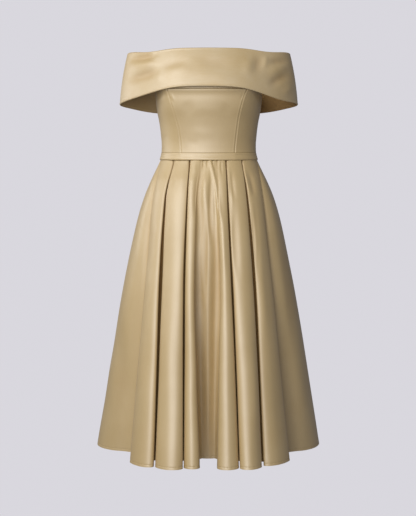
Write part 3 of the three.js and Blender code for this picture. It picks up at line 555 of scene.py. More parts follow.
def valley_points(valley, fall, form_depth, mouth_drops):
    """The inside of a valley between two folds, whose middle line runs in from the outer form"""
    x = valley["x"](fall)
    mouth = np.array([x, form_depth(x, fall)])
    inward = np.array([x * (1 - valley["aim"](fall)), 0.0]) - mouth
    inward /= np.linalg.norm(inward)
    across = np.array([-inward[1], inward[0]])
    deep = valley["deep"](fall)
    belly = valley["belly"] * deep / valley["deep"](HEM_FALL)
    points = []
    for side, widening, share in VALLEY_PROFILE:
        mouth_drop = mouth_drops[0 if side < 0 else 1]
        sideways = side * (gap_at(valley, fall) / 2 + belly * widening)
        down = mouth_drop + (deep - mouth_drop) * share
        spot = mouth + inward * down + across * sideways
        # Painted shade, darker deeper in the valley, where shade falls
        points.append((spot[0], spot[1], lerp(MOUTH_SHADE, 1, share) * smoothstep(deep, 2, 12)))
    return points


def recess_points(fall, mouth_drops):
    """The open recess in the middle of the front: a floor with gathers between two flanks, which
    slope in softly near the waist and stand steep, slightly undercut, at the hem"""
    left, right, deep = recess["left"](fall), recess["right"](fall), recess["deep"](fall)
    slope = lerp(8, -2, np.clip(deep / 60, 0, 1))
    # Painted shade on the recess's floor and flanks, growing as the recess deepens
    hidden = RECESS_SHADE * smoothstep(deep, 4, 50)
    upper, lower = FLANK_SHARES

    def flank(x, mouth_drop, share):
        return (x, front_depth(x, fall) - lerp(mouth_drop, deep, share), hidden * share)

    points = [flank(left + slope / 2, mouth_drops[0], upper), flank(left + slope, mouth_drops[0], lower)]
    for line in recess_lines:
        x = line["x"](fall)
        points.append((x, front_depth(x, fall) - deep + line["lift"](fall), hidden))
    return points + [
        flank(right - slope, mouth_drops[1], lower), flank(right - slope / 2, mouth_drops[1], upper)
    ]


def side_seam(side, sign, fall):
    size = skirt_size(fall)
    widest = side["widest"](fall)
    behind = seam_behind_widest(fall) / (size["back"] + widest)
    x = size["half_width"] * (1 - behind**SKIRT_BACK_ROUND) ** (1 / SKIRT_BACK_ROUND)
    return (sign * x, widest - seam_behind_widest(fall), 0)


def side_points(side, sign, fall):
    """From the side seam forwards over the widest point and in to the flank of the outer fold"""
    half_width = skirt_size(fall)["half_width"]
    edge, step, widest = side["edge"](fall), side["step"](fall), side["widest"](fall)
    foot_x = edge - side["tuck"](fall)
    foot = front_depth(edge, fall) - step
    points = [side_seam(side, sign, fall)]
    for turn in np.radians(LOBE_TURNS):
        x = foot_x + (half_width - foot_x) * math.sin(turn) ** LOBE_SQUARENESS
        depth = widest + (foot - widest) * abs(math.cos(turn)) ** LOBE_SQUARENESS
        points.append((sign * x, depth, 0))
    for share in STEP_SHARES:
        # The step into the outer fold gets a little painted shade
        points.append((sign * lerp(foot_x, edge, share * share), foot + step * share, STEP_SHADE))
    return points


def front_line(fall):
    """The front of the skirt at one level, from the wearer's right side seam to the left one"""
    points = side_points(right_side, -1, fall)
    start = -right_side["edge"](fall)
    for i, fold in enumerate(front_folds):
        if i == len(front_valleys):
            points += fold_crest(fold, start, left_side["edge"](fall), fall, front_depth, 1)
            break
        valley = front_valleys[i]
        drops = [near["sink"](fall) + near["round"](fall) for near in (fold, front_folds[i + 1])]
        if valley is recess:
            ends = recess["left"](fall), recess["right"](fall)
            inside = recess_points(fall, drops)
        else:
            ends = mouth_ends(valley, fall)
            inside = valley_points(valley, fall, front_depth, drops)
        points += fold_crest(fold, start, ends[0], fall, front_depth, 1) + inside
        start = ends[1]
    return points + side_points(left_side, 1, fall)[::-1]


def side_back(side, sign, edge, fall):
    """From a side seam back to the edge of the first back valley, evenly by angle round the form"""
    half_width = skirt_size(fall)["half_width"]

    def angle_at(x):
        return math.acos(min(1, abs(x) / half_width) ** (SKIRT_BACK_ROUND / 2))

    start, end = angle_at(side_seam(side, sign, fall)[0]), angle_at(edge)
    points = []
    for along, rounding in SIDE_BACK_PROFILE:
        x = sign * half_width * math.cos(lerp(start, end, along)) ** (2 / SKIRT_BACK_ROUND)
        depth = back_depth(x, fall) + back_fold["round"](fall) * rounding
        points.append((x, depth, CREST_SHADE * rounding))
    return points


def back_line(fall):
    """The back of the skirt at one level, from just past the left side seam round to the right"""
    drops = [back_fold["round"](fall)] * 2
    ends = [mouth_ends(valley, fall) for valley in back_valleys]
    points = side_back(left_side, 1, ends[0][1], fall)
    for i, valley in enumerate(back_valleys):
        points += valley_points(valley, fall, back_depth, drops)
        if i < len(back_valleys) - 1:
            points += fold_crest(back_fold, ends[i][0], ends[i + 1][1], fall, back_depth, -1)
    return points + side_back(right_side, -1, ends[-1][0], fall)[::-1]


def refined(line, count):
    """A closed line with count points on each stretch of a smooth curve through its points"""
    points = [np.roll(line, shift, axis=0) for shift in (1, 0, -1, -2)]
    knots = [np.zeros(len(line))]
    for a, b in zip(points, points[1:]):
        gap = np.linalg.norm((b - a)[:, :2], axis=1)
        knots.append(knots[-1] + np.maximum(gap, 1e-6) ** 0.5)
    k0, k1, k2, k3 = knots
    out = np.empty((len(line), count, line.shape[1]))
    for step in range(count):
        t = lerp(k1, k2, step / count)

        def between(a, b, start, end):
            share = ((t - start) / (end - start))[:, None]
            return a * (1 - share) + b * share

        a1, a2, a3 = (between(points[i], points[i + 1], knots[i], knots[i + 1]) for i in range(3))
        b1, b2 = between(a1, a2, k0, k2), between(a2, a3, k1, k3)
        out[:, step] = between(b1, b2, k1, k2)
    return out.reshape(-1, line.shape[1])


def skirt_grid():
    """The skirt's outer face as rows of points from the waist seam to the hem, all the way round,
    with the painted shade of each point, the fall of each row and the column of the left side seam"""
    start, end = WAISTBAND_HALF + SEAM_GAP, HEM_FALL - HEM_ROWS_FROM
    upper = lerp(start, end, np.linspace(0, 1, SKIRT_ROWS) ** WAIST_CROWDING)
    falls = np.concatenate([upper, HEM_FALL - np.array(HEM_ROWS)])
    rows, hidden = [], []
    for fall in falls:
        front = front_line(fall)
        line = refined(np.array(front + back_line(fall), float), RING_REFINES)
        fade = max(0.0, 1 - (fall - WAISTBAND_HALF) / DIP_FADES_OVER)
        heights = -fall - fade * waist_dip(line[:, 1])
        rows.append(np.stack([line[:, 0], -line[:, 1], heights], axis=1))
        hidden.append(np.clip(line[:, 2], 0, 1))
    return np.array(rows), np.array(hidden), falls, (len(front) - 1) * RING_REFINES


def grid_normals(grid):
    """Unit normals of a grid of points, rows downwards and columns round, by its neighbours"""
    return unit(np.cross(np.gradient(grid, axis=0), np.gradient(grid, axis=1)))


def crease_field(grid, creases):
    """How far soft troughs and ridges, laid along listed, slightly bowed lines, move each point"""
    moved = np.zeros(grid.shape[:2])
    spots = np.stack([grid[..., 0], grid[..., 2]], axis=-1)
    for x0, z0, x1, z1, width, depth in creases:
        start, end = np.array([x0, z0], float), np.array([x1, z1], float)
        length = np.linalg.norm(end - start)
        way = (end - start) / length
        along = (spots - start) @ way
        share = np.clip(along / length, 0, 1)
        bow = CREASE_BOW * length * math.sin(x0 * 0.37 + z0 * 0.11)
        away = (spots - start) @ np.array([-way[1], way[0]]) - bow * 4 * share * (1 - share)
        taper = smoothstep(share, 0, CREASE_TAPER) * (1 - smoothstep(share, 1 - CREASE_TAPER, 1))
        moved += depth * taper * np.exp(-((away / width) ** 2))
    return moved


def trough_painted_shade(creased):
    """Painted shade: how much darker and warmer the satin's colour is made in a trough, where shade falls"""
    return TROUGH_SHADE * np.clip(-creased / 4, 0, 1)


def along_line(points):
    """How far along a line of points each of them lies"""
    return np.concatenate([[0], np.cumsum(np.linalg.norm(np.diff(points, axis=0), axis=1))])


def from_edges(grid):
    """Distance of each point along its row from the nearer end of the row"""
    steps = np.linalg.norm(np.diff(grid, axis=1), axis=2)
    along = np.concatenate([np.zeros((len(grid), 1)), np.cumsum(steps, axis=1)], axis=1)
    return np.minimum(along, along[:, -1:] - along)


def clear_of_seams(grid):
    """0 at the side edges of a panel, where two panels have to meet, and 1 well away from them"""
    return np.clip(from_edges(grid) / SEAM_CLEARANCE, 0, 1)


def seamed(grid, deep=0.8, width=1.6):
    """Both side edges of a panel roll in to their seams beside a slight swelling"""
    away = from_edges(grid)
    groove = deep * np.exp(-((away / width) ** 2))
    swelling = 0.25 * deep * np.exp(-(((away - 2.4 * width) / width) ** 2))
    return grid + grid_normals(grid) * (swelling - groove)[..., None]


def cut_size(grid):
    """Flat width, length and area in metres of the cloth that a grid of points lays out"""
    across, down = np.diff(grid, axis=1), np.diff(grid, axis=0)
    width = np.linalg.norm(across, axis=2).sum(axis=1).max()
    length = np.linalg.norm(down, axis=2).sum(axis=0).max()
    area = np.linalg.norm(np.cross(across[:-1], down[:, :-1]), axis=2).sum()
    return width * MM, length * MM, area * MM * MM


def cloth_piece(name, outer, thickness, material, hidden=None, inside=INSIDE_SHADE):
    """A thin closed shell between a grid of points and its copy moved in along the normals"""
    rows, columns = outer.shape[:2]
    inner = outer - grid_normals(outer) * thickness
    points = np.stack([outer, inner])
    index = np.arange(rows * columns).reshape(rows, columns)
    back = index + rows * columns

    def quads(a, b, c, d):
        return np.stack([a, b, c, d], axis=-1).reshape(-1, 4)

    faces = [
        quads(index[:-1, :-1], index[1:, :-1], index[1:, 1:], index[:-1, 1:]),
        quads(back[:-1, :-1], back[:-1, 1:], back[1:, 1:], back[1:, :-1]),
        quads(index[0, :-1], index[0, 1:], back[0, 1:], back[0, :-1]),
        quads(index[-1, 1:], index[-1, :-1], back[-1, :-1], back[-1, 1:]),
        quads(index[1:, 0], index[:-1, 0], back[:-1, 0], back[1:, 0]),
        quads(index[:-1, -1], index[1:, -1], back[1:, -1], back[:-1, -1]),
    ]
    piece = new_piece(name, points, np.concatenate(faces).tolist(), material)
    mesh = piece.data
    border = np.zeros(2 * rows * columns, bool)
    for line in (index[0], index[-1], index[:, 0], index[:, -1]):
        border[line] = True
        border[line + rows * columns] = True
    ends = np.empty(2 * len(mesh.edges), int)
    mesh.edges.foreach_get("vertices", ends)
    sharp = border[ends.reshape(-1, 2)].all(axis=1)
    mesh.attributes.new("sharp_edge", "BOOLEAN", "EDGE").data.foreach_set("value", sharp)
    # Painted shade for the satin shader: the outer face takes the given mask, the inner face at least the
    # inside value, standing in for the shade inside the cloth
    hidden = np.zeros((rows, columns)) if hidden is None else hidden
    shade = np.stack([hidden, np.maximum(hidden, inside)])
    mesh.attributes.new("hidden", "FLOAT", "POINT").data.foreach_set("value", shade.ravel())
    return piece


def new_piece(name, points, faces, material):
    """A new piece of the dress in the scene, from points in millimetres"""
    mesh = bpy.data.meshes.new(name)
    mesh.from_pydata((points.reshape(-1, 3) * MM).tolist(), [], faces)
    mesh.update()
    mesh.polygons.foreach_set("use_smooth", [True] * len(mesh.polygons))
    mesh.materials.append(material)
    piece = bpy.data.objects.new(name, mesh)
    bpy.context.scene.collection.objects.link(piece)
    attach(piece, DRESS_BODY)
    return piece


def rods(name, starts, ends, up, radius, material):
    """Short threads or zip coils: a small rod with tapered ends from each start to its end"""
    way = ends - starts
    side = unit(np.cross(way, up)) * radius
    lift = unit(np.cross(side, way)) * radius
    points = [starts]
    for share in (0.25, 0.75):
        points += [starts + way * share + spoke for spoke in (side, lift, -side, -lift)]
    points.append(ends)
    faces = []
    for first in range(0, len(points) * len(starts), len(points)):
        last = first + len(points) - 1
        for i in range(4):
            a, b = first + 1 + i, first + 1 + (i + 1) % 4
            faces += [(first, a, b), (a, a + 4, b + 4, b), (last, b + 4, a + 4)]
    return new_piece(name, np.stack(points, axis=1), faces, material)


def stitches(context, name, path, outward):
    """A row of machine stitches along a line on the cloth"""
    length = context.scene.dress_sizes.stitch_length / MM
    at = along_line(path)
    middles = np.arange(0.7 * length, at[-1] - 0.7 * length, STITCH_PITCH * length)

    def along(values, places):
        return np.stack([np.interp(places, at, values[:, i]) for i in range(3)], axis=1)

    up = unit(along(outward, middles))
    starts = along(path, middles - length / 2) + up * STITCH_PROUD
    ends = along(path, middles + length / 2) + up * STITCH_PROUD
    return rods(name, starts, ends, up, STITCH_RADIUS, material_of(context, "thread"))


class Sock:
    """A node socket whose arithmetic adds Math nodes"""

    def __init__(self, tree, socket):
        self.tree = tree
        self.socket = socket

    def math(self, operation, *values):
        node = self.tree.nodes.new("ShaderNodeMath")
        node.operation = operation
        for i, value in enumerate(values):
            if isinstance(value, Sock):
                self.tree.links.new(value.socket, node.inputs[i])
            else:
                node.inputs[i].default_value = value
        return Sock(self.tree, node.outputs[0])

    def __add__(self, other):
        return self.math("ADD", self, other)

    def __radd__(self, other):
        return self.math("ADD", other, self)

    def __mul__(self, other):
        return self.math("MULTIPLY", self, other)

    def __rmul__(self, other):
        return self.math("MULTIPLY", other, self)


class Nodes:
    """The node tree of a material or world, emptied and built up by name"""

    def __init__(self, owner):
        owner.use_nodes = True
        self.tree = owner.node_tree
        self.tree.nodes.clear()

    def add(self, kind, settings=None, output=None, **sockets):
        """A node of this type with its settings, and values or links for its named sockets"""
        node = self.tree.nodes.new(kind)
        for name, value in (settings or {}).items():
            setattr(node, name, value)
        for name, value in sockets.items():
            socket = self.named(node.inputs, name)
            if isinstance(value, Sock):
                self.tree.links.new(value.socket, socket)
            else:
                socket.default_value = value
        if not node.outputs:
            return None
        return Sock(self.tree, self.named(node.outputs, output) if output else node.outputs[0])

    @staticmethod
    def named(sockets, name):
        wanted = name.replace("_", " ").lower()
        for socket in sockets:
            if socket.name.lower() == wanted and socket.enabled:
                return socket
        raise KeyError(f"no socket is named {wanted}")

    def mixed(self, factor, a, b):
        return self.add("ShaderNodeMix", {"data_type": "RGBA"}, "result", factor=factor, a=a, b=b)

    def ranged(self, value, low, high, to_low, to_high):
        return self.add(
            "ShaderNodeMapRange", value=value, from_min=low, from_max=high, to_min=to_low, to_max=to_high
        )


def satin(nodes, light, colours, level=False):
    """Champagne satin with upright or level grain: fine floats, faint slubs, cloudy colour, and painted
    shade, a warm brown in folds
    """
    place = nodes.add("ShaderNodeTexCoord", output="object")

    def grain(fine, coarse, detail):
        scale = (coarse, fine, fine) if level else (fine, fine, coarse)
        way = nodes.add("ShaderNodeMapping", vector=place, scale=scale)
        return nodes.add("ShaderNodeTexNoise", vector=way, scale=1.0, detail=detail, roughness=0.6)

    floats = grain(fine=1100, coarse=70, detail=2.0)
    slubs = grain(fine=340, coarse=18, detail=3.0)
    clouds = nodes.add("ShaderNodeTexNoise", vector=place, scale=9.0, detail=3.0, roughness=0.55)
    # Painted shade: this mask mixes a warm dark brown into the colour where shade falls in folds, troughs
    # and on insides, and also roughens the satin there
    hidden = nodes.add("ShaderNodeAttribute", {"attribute_name": "hidden"}, "fac")
    tone = nodes.ranged(clouds * 0.75 + slubs * 0.25, 0.36, 0.64, 0.0, 1.0)
    base = nodes.mixed(tone, light, colours.satin_deep)
    base = nodes.mixed(hidden * 0.95, base, colours.satin_painted_shade)
    rough = 0.46 + floats * 0.08 + clouds * 0.08 + hidden * 0.5
    normal = nodes.add("ShaderNodeBump", height=floats * 0.6 + slubs * 0.3, strength=0.2, distance=0.0005)
    return nodes.add(
        "ShaderNodeBsdfPrincipled", base_color=base, roughness=rough, normal=normal,
        sheen_weight=0.1, sheen_roughness=0.3, sheen_tint=(0.85, 0.86, 0.92, 1), ior=1.8,
        specular_ior_level=1.0,
    )


def plain(nodes, colour, grain_scale, roughness, metallic=0.0):
    """Thread, tape or lacquered brass: a fine grain in colour, roughness and bump"""
    place = nodes.add("ShaderNodeTexCoord", output="object")
    grain = nodes.add("ShaderNodeTexNoise", vector=place, scale=grain_scale, detail=2.0)
    dull = (*[0.72 * share for share in colour[:3]], 1)
    base = nodes.mixed(nodes.ranged(grain, 0.35, 0.65, 0.0, 0.6), colour, dull)
    normal = nodes.add("ShaderNodeBump", height=grain, strength=0.15, distance=0.0002)
    return nodes.add(
        "ShaderNodeBsdfPrincipled", base_color=base, roughness=roughness + grain * 0.16, normal=normal,
        metallic=metallic,
    )


def material_of(context, key):
    """The dress's materials are made once and shared"""
    name = f"dress_{key}"
    if name in bpy.data.materials:
        return bpy.data.materials[name]
    material = bpy.data.materials.new(name)
    nodes = Nodes(material)
    colours = context.scene.dress_colours
    colour = getattr(colours, key)
    if key == "satin":
        surface = satin(nodes, colour, colours)
    elif key == "band_satin":
        surface = satin(nodes, colour, colours, level=True)
    elif key == "zip_metal":
        surface = plain(nodes, colour, grain_scale=300.0, roughness=0.2, metallic=1.0)
    else:
        surface = plain(nodes, colour, grain_scale=1500.0, roughness=0.66)
    nodes.add("ShaderNodeOutputMaterial", surface=surface)
    return material


def length_prop(name, description, metres):
    return FloatProperty(name=name, description=description, default=metres, unit="LENGTH")


def colour_prop(name, description, shares):
    return FloatVectorProperty(
        name=name, description=description, default=(*shares, 1), size=4, subtype="COLOR"
    )


def power_prop(name, description, watts):
    return FloatProperty(name=name, description=description, default=watts, unit="POWER")


class DressSizes(bpy.types.PropertyGroup):
    """Sizes of the cloth and sewing that a user would change"""

    cloth: length_prop("Cloth", "Thickness of the satin", 0.0012)
    band_cloth: length_prop("Band cloth", "Thickness of the band's doubled satin", 0.0016)
    stitch_length: length_prop("Stitch", "Length of a machine stitch", 0.0028)
    creases: FloatProperty(
        name="Creases", description="Depth of all creases, as a share", default=1.0, min=0, max=2
    )


class DressColours(bpy.types.PropertyGroup):
    """Colours of the dress and the studio"""

    satin: colour_prop("Satin", "Satin in the light", (0.51, 0.376, 0.173))
    # Partly painted sheen: the band's satin keeps its own level grain, and its base colour is lighter and
    # less yellow than the skirt's, standing in for its whiter satin highlights
    band_satin: colour_prop("Band satin", "The band's satin in the light", (0.525, 0.408, 0.225))
    satin_deep: colour_prop("Satin deep", "Warmer cloudy tone", (0.472, 0.338, 0.142))
    # Painted shade: this warm dark brown, mixed into the satin's colour deep in folds, troughs and on the
    # cloth's insides, stands in for the shade there
    satin_painted_shade: colour_prop("Satin in folds", "Warm tone deep in folds", (0.285, 0.147, 0.02))
    thread: colour_prop("Thread", "Sewing thread", (0.44, 0.32, 0.15))
    zip_tape: colour_prop("Zip tape", "Woven tape", (0.48, 0.37, 0.2))
    zip_metal: colour_prop("Zip metal", "Slider and pull tab", (0.62, 0.47, 0.2))
    backdrop: colour_prop("Backdrop", "Pale studio backdrop", (0.694, 0.682, 0.73))


class DressStage(bpy.types.PropertyGroup):
    """Camera and light"""

    distance: length_prop("Distance", "Camera to the dress", 2.7)
    lens: FloatProperty(name="Lens", description="Focal length", default=71.1, unit="CAMERA")
    key_power: power_prop("Key", "Power of the key light", 31.0)
    fill_power: power_prop("Fill", "Power of the fill light", 49.0)
    rim_power: power_prop("Rim", "Power of the light beside the right arm", 6.0)
    surround: FloatProperty(
        name="Surround", description="Strength of the surround's light on the dress", default=0.26
    )


def state_cut(grid):
    """Works out the flat width, length and area that a piece's modelled cloth lays out, and keeps none of
    them
    """
    width, length, area = cut_size(grid)


class DRESS_OT_skirt(bpy.types.Operator):
    """Pleated skirt in a front and a back half, with its folds, creases and stitched hem"""

    bl_idname = "dress.skirt"
    bl_label = "Skirt"

    def execute(self, context):
        grid, hidden, falls, seam = skirt_grid()
        grid = np.concatenate([grid, grid[:, :1]], axis=1)
        hidden = np.concatenate([hidden, hidden[:, :1]], axis=1)
        thickness = context.scene.dress_sizes.cloth / MM
        material = material_of(context, "satin")
        halves = {
            "skirt_front": (slice(0, seam + 1), SKIRT_FRONT_CREASES),
            "skirt_back": (slice(seam, None), SKIRT_BACK_CREASES),
        }
        for name, (columns, creases) in halves.items():
            # tone is this half's painted shade, with more added in its troughs below
            half, tone = grid[:, columns], hidden[:, columns]
            shows = np.clip(1 - SMOOTH_WHERE_HIDDEN * tone, 0, 1) * clear_of_seams(half)
            creased = shows * crease_field(half, creases)
            half = half + grid_normals(half) * self.moves(context, half, shows, falls, creased)[..., None]
            tone = tone + trough_painted_shade(creased)
            piece = cloth_piece(f"{name}_cloth", half, thickness, material, tone)
            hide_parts(name)
            row = int(np.argmin(np.abs(falls - (HEM_FALL - HEM_STITCHES_OVER_EDGE))))
            normals = grid_normals(half)
            hem = stitches(context, f"{name}_hem_stitches", half[row], normals[row])
            state_cut(half)
        return {"FINISHED"}

    @staticmethod
    def moves(context, half, shows, falls, creased):
        """Creases and a slow sway on what shows, and puckers and a groove at the hem's stitches"""
        x, z = half[..., 0], half[..., 2]
        sway = np.sin(0.047 * x + 0.9 * np.sin(0.011 * z) + 0.3) * np.sin(0.019 * z + 0.021 * x)
        lasting = smoothstep(falls, 20, 140)[:, None]
        moved = (creased + SWAY * shows * sway * lasting) * context.scene.dress_sizes.creases
        from_stitches = (HEM_FALL - HEM_STITCHES_OVER_EDGE - falls)[:, None]
        along = along_line(half[-1])
        puckers = np.sin(2 * math.pi * along / PUCKER_LENGTH + 1.1 * np.sin(along / 31))
        moved += PUCKER * puckers * np.exp(-(from_stitches / 3.5) ** 2)
        return moved - HEM_GROOVE * np.exp(-(from_stitches / 0.9) ** 2)


class DRESS_OT_bodice(bpy.types.Operator):
    """Fitted bodice: centre front, two side fronts and a back, joined at seams"""

    bl_idname = "dress.bodice"
    bl_label = "Bodice"

    def execute(self, context):
        sizes = context.scene.dress_sizes
        material = material_of(context, "satin")
        panels = {
            "bodice_center_front": (-PRINCESS, PRINCESS, 96, BODICE_FRONT_CREASES),
            "bodice_side_front_left": (PRINCESS, SIDE_SEAM, 56, BODICE_SIDE_CREASES),
            "bodice_side_front_right": (-SIDE_SEAM, -PRINCESS, 56, BODICE_SIDE_CREASES),
            "bodice_back": (SIDE_SEAM, 2 * BACK_CENTRE - SIDE_SEAM, 180, BODICE_BACK_CREASES),
        }
        steps = [np.linspace(0, 1, count)[:, None] for count in PANEL_ROWS]
        for name, (start, end, count, creases) in panels.items():
            place = places_between(start + PANEL_GAP, end - PANEL_GAP, count)
            bottom = WAISTBAND_HALF + SEAM_GAP - dip_at(place)
            lip = self.lip_height(place)
            heights = np.concatenate([
                lerp(bodice_top(place), lip + ABOVE_LIP, steps[0][:-1]),
                lip + lerp(ABOVE_LIP, -BELOW_LIP, steps[1][:-1]),
                lerp(lip - BELOW_LIP, bottom, steps[2]),
            ])
            grid = body_points(heights, place)
            moved = crease_field(grid, creases) + self.lip(heights - lip, np.abs(place))
            grid = grid + grid_normals(grid) * (moved * sizes.creases)[..., None]
            grid = seamed(grid)
            piece = cloth_piece(f"{name}_cloth", grid, sizes.cloth / MM, material)
            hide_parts(name)
            state_cut(grid)
        return {"FINISHED"}

    @staticmethod
    def lip_height(place):
        """Height of the edge that shows just under the band"""
        p = np.abs(place)
        to_princess = LIP_RISE_TO_PRINCESS * np.minimum(p, PRINCESS) ** 2
        return LIP_HEIGHT + to_princess + LIP_RISE_TO_SIDE * smoothstep(p, PRINCESS, LIP_LEVELS_AT)

    @staticmethod
    def lip(above, p):
        """Rolls the edge under the band forwards and sets what is above it back into the shadow"""
        below = np.exp(-((above / BELOW_LIP) ** 2))
        over = 1 - 2 * smoothstep(above, 0, 2.2) + smoothstep(above, 3, 34)
        return LIP_ROLL * np.where(above < 0, below, over) * (1 - smoothstep(p, *LIP_ENDS))


class DRESS_OT_waistband(bpy.types.Operator):
    """Narrow waistband in a front and a back half"""

    bl_idname = "dress.waistband"
    bl_label = "Waistband"

    def execute(self, context):
        sizes = context.scene.dress_sizes
        material = material_of(context, "satin")
        halves = {
            "waistband_front": (-SIDE_SEAM, SIDE_SEAM, 240, WAISTBAND_CREASES),
            "waistband_back": (SIDE_SEAM, 2 * BACK_CENTRE - SIDE_SEAM, 180, ()),
        }
        levels = np.linspace(1, -1, WAISTBAND_ROWS)[:, None]
        for name, (start, end, count, creases) in halves.items():
            place = places_between(start + WAISTBAND_GAP, end - WAISTBAND_GAP, count)
            middle = -dip_at(place)
            heights = middle + levels * WAISTBAND_HALF
            grid = body_points(heights, place, -WAISTBAND_PROUD)
            straight = grid.copy()
            straight[..., 2] -= middle
            tilted = WAISTBAND_TILT * smoothstep(-levels, -0.5, 0.9)
            rolled = tilted - WAISTBAND_ROLL * np.abs(levels) ** 10
            moved = rolled + crease_field(straight, creases) * sizes.creases
            grid = grid + grid_normals(grid) * moved[..., None]
            piece = cloth_piece(f"{name}_cloth", grid, sizes.cloth / MM, material)
            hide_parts(name)
            state_cut(grid)
        return {"FINISHED"}


def band_ring():
    """The band's sections as a closed ring, refined by a smooth curve for each column"""
    rows = np.array(BAND_SECTIONS, float)
    mirrored = rows[1:-1][::-1].copy()
    mirrored[:, [BAND_COLUMNS.index("across"), BAND_COLUMNS.index("top_across")]] *= -1
    rows[:, BAND_COLUMNS.index("low")] -= rows[:, BAND_COLUMNS.index("droop")]
    ring = np.concatenate([rows, mirrored])
    a, b, c, d = (np.roll(ring, shift, axis=0) for shift in (1, 0, -1, -2))
    early, late = (c - a) / 2, (d - b) / 2
    out = []
    for k in range(BAND_REFINES):
        t = k / BAND_REFINES
        cubic = (3 * (c - b) - 2 * early - late) * t * t + (2 * (b - c) + early + late) * t**3
        out.append(b + early * t + cubic)
    table = np.stack(out, axis=1).reshape(-1, rows.shape[1])
    for shift in BAND_SOFTENING:
        table = (np.roll(table, shift, axis=0) + table + np.roll(table, -shift, axis=0)) / 3
    return {name: table[:, i] for i, name in enumerate(BAND_COLUMNS)}


def leg_end(x, depth, free):
    """Where the band's inner leg ends: on the bodice's edge in front and behind, free at the arms"""
    size = bodice_size(TOP_EDGE)
    in_front = depth > 0
    share = np.where(in_front, *(smoothstep(np.abs(x), *widths) for widths in LEG_LEAVES.values()))
    seam = np.where(x < 0, size["seam_right"], size["seam_left"])
    on_front = size["front"] - size["sag"] * (x / seam) ** 2 - BODICE_WALL
    half_width = size["half_width"] - BODICE_WALL
    on_back = -(size["back"] - BODICE_WALL) * quarter_oval(x, half_width, BACK_ROUND)
    on_bodice = np.stack([x, np.where(in_front, on_front, on_back)], axis=1)
    return on_bodice + (free - on_bodice) * share[:, None]


class DRESS_OT_band(bpy.types.Operator):
    """Wide folded band round the chest and upper arms, with its creases and stitched edge"""

    bl_idname = "dress.band"
    bl_label = "Band"

    def execute(self, context):
        sizes = context.scene.dress_sizes
        thickness = sizes.band_cloth / MM
        material = material_of(context, "band_satin")
        rows, outside = self.rows()
        side = [row[1] < 0 for row in BAND_SECTIONS].index(True) * BAND_REFINES - BAND_REFINES // 2
        ring = np.concatenate([rows, rows], axis=1)
        count = rows.shape[1]
        halves = {
            "band_front": (ring[:, count - side : count + side + 1], BAND_FRONT_CREASES),
            "band_back": (ring[:, side : count - side + 1], BAND_BACK_CREASES),
        }
        for name, (grid, creases) in halves.items():
            over_edge = (np.cumsum(np.linalg.norm(np.diff(grid[::-1], axis=0), axis=2), axis=0))[::-1]
            over_edge = np.concatenate([over_edge, np.zeros((1, grid.shape[1]))])
            bead = np.exp(-(((over_edge - BEAD_OVER_EDGE) / BEAD_WIDTH) ** 2))
            bead = bead - np.exp(-((over_edge / EDGE_WIDTH) ** 2))
            creased = crease_field(grid, creases) * clear_of_seams(grid) * outside[:, None]
            moved = (creased + BEAD * bead * outside[:, None]) * sizes.creases
            grid = grid + grid_normals(grid) * moved[..., None]
            tone = trough_painted_shade(creased)
            # Painted shade inside the band, growing darker towards the wearer's left, standing in for the
            # shade there
            inside = lerp(*BAND_INSIDE_SHADE, smoothstep(grid[..., 0], -60, 120))
            piece = cloth_piece(f"{name}_cloth", grid, thickness, material, tone, inside)
            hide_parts(name)
            from_stitches = np.abs(over_edge.mean(axis=1) - BAND_STITCHES_OVER_EDGE)
            row = int(np.argmin(np.where(outside < 1, np.inf, from_stitches)))
            normals = grid_normals(grid)
            path = grid[row] - normals[row] * (thickness + 0.05)
            hem = stitches(context, f"{name}_stitches", path, -normals[row])
            state_cut(grid)
        return {"FINISHED"}

    @staticmethod
    def rows():
        """Rows of points from the end of the inner leg up, over the fold and down the outside to
        the lower edge, and how far each row is on the outside"""
        ring = band_ring()
        radius = FOLD_THICKNESS / 2
        low = np.stack([ring["across"], ring["depth"]], axis=1)
        high = np.stack([ring["top_across"], ring["top_depth"]], axis=1)
        inward = -outward_of(high)
        rows, outside = [], []
        for rise in np.concatenate([BAND_RISES, np.linspace(0.11, 1, BAND_RISE_ROWS, endpoint=False)]):
            plan = lerp(low, high, rise) - inward * BAND_BELLY * 4 * rise * (1 - rise)
            rows.append((plan, lerp(ring["low"], ring["top"] - radius, rise)))
            outside.append(1)
        for turn in np.linspace(0, math.pi, BAND_FOLD_ROWS):
            plan = high + inward * (radius - radius * math.cos(turn))
            rows.append((plan, ring["top"] - radius + radius * math.sin(turn)))
            outside.append(math.cos(turn / 2) ** 2)
        free = high + inward * FOLD_THICKNESS
        end = leg_end(free[:, 0], ring["top_depth"], free)
        for drop in np.linspace(0, 1, BAND_LEG_ROWS)[1:]:
            rows.append((lerp(free, end, drop), lerp(ring["top"] - radius, TOP_EDGE + SEAM_GAP, drop)))
            outside.append(0)
        grid = np.array([np.stack([plan[:, 0], -plan[:, 1], z], axis=1) for plan, z in rows])
        return grid[::-1], np.array(outside, float)[::-1]


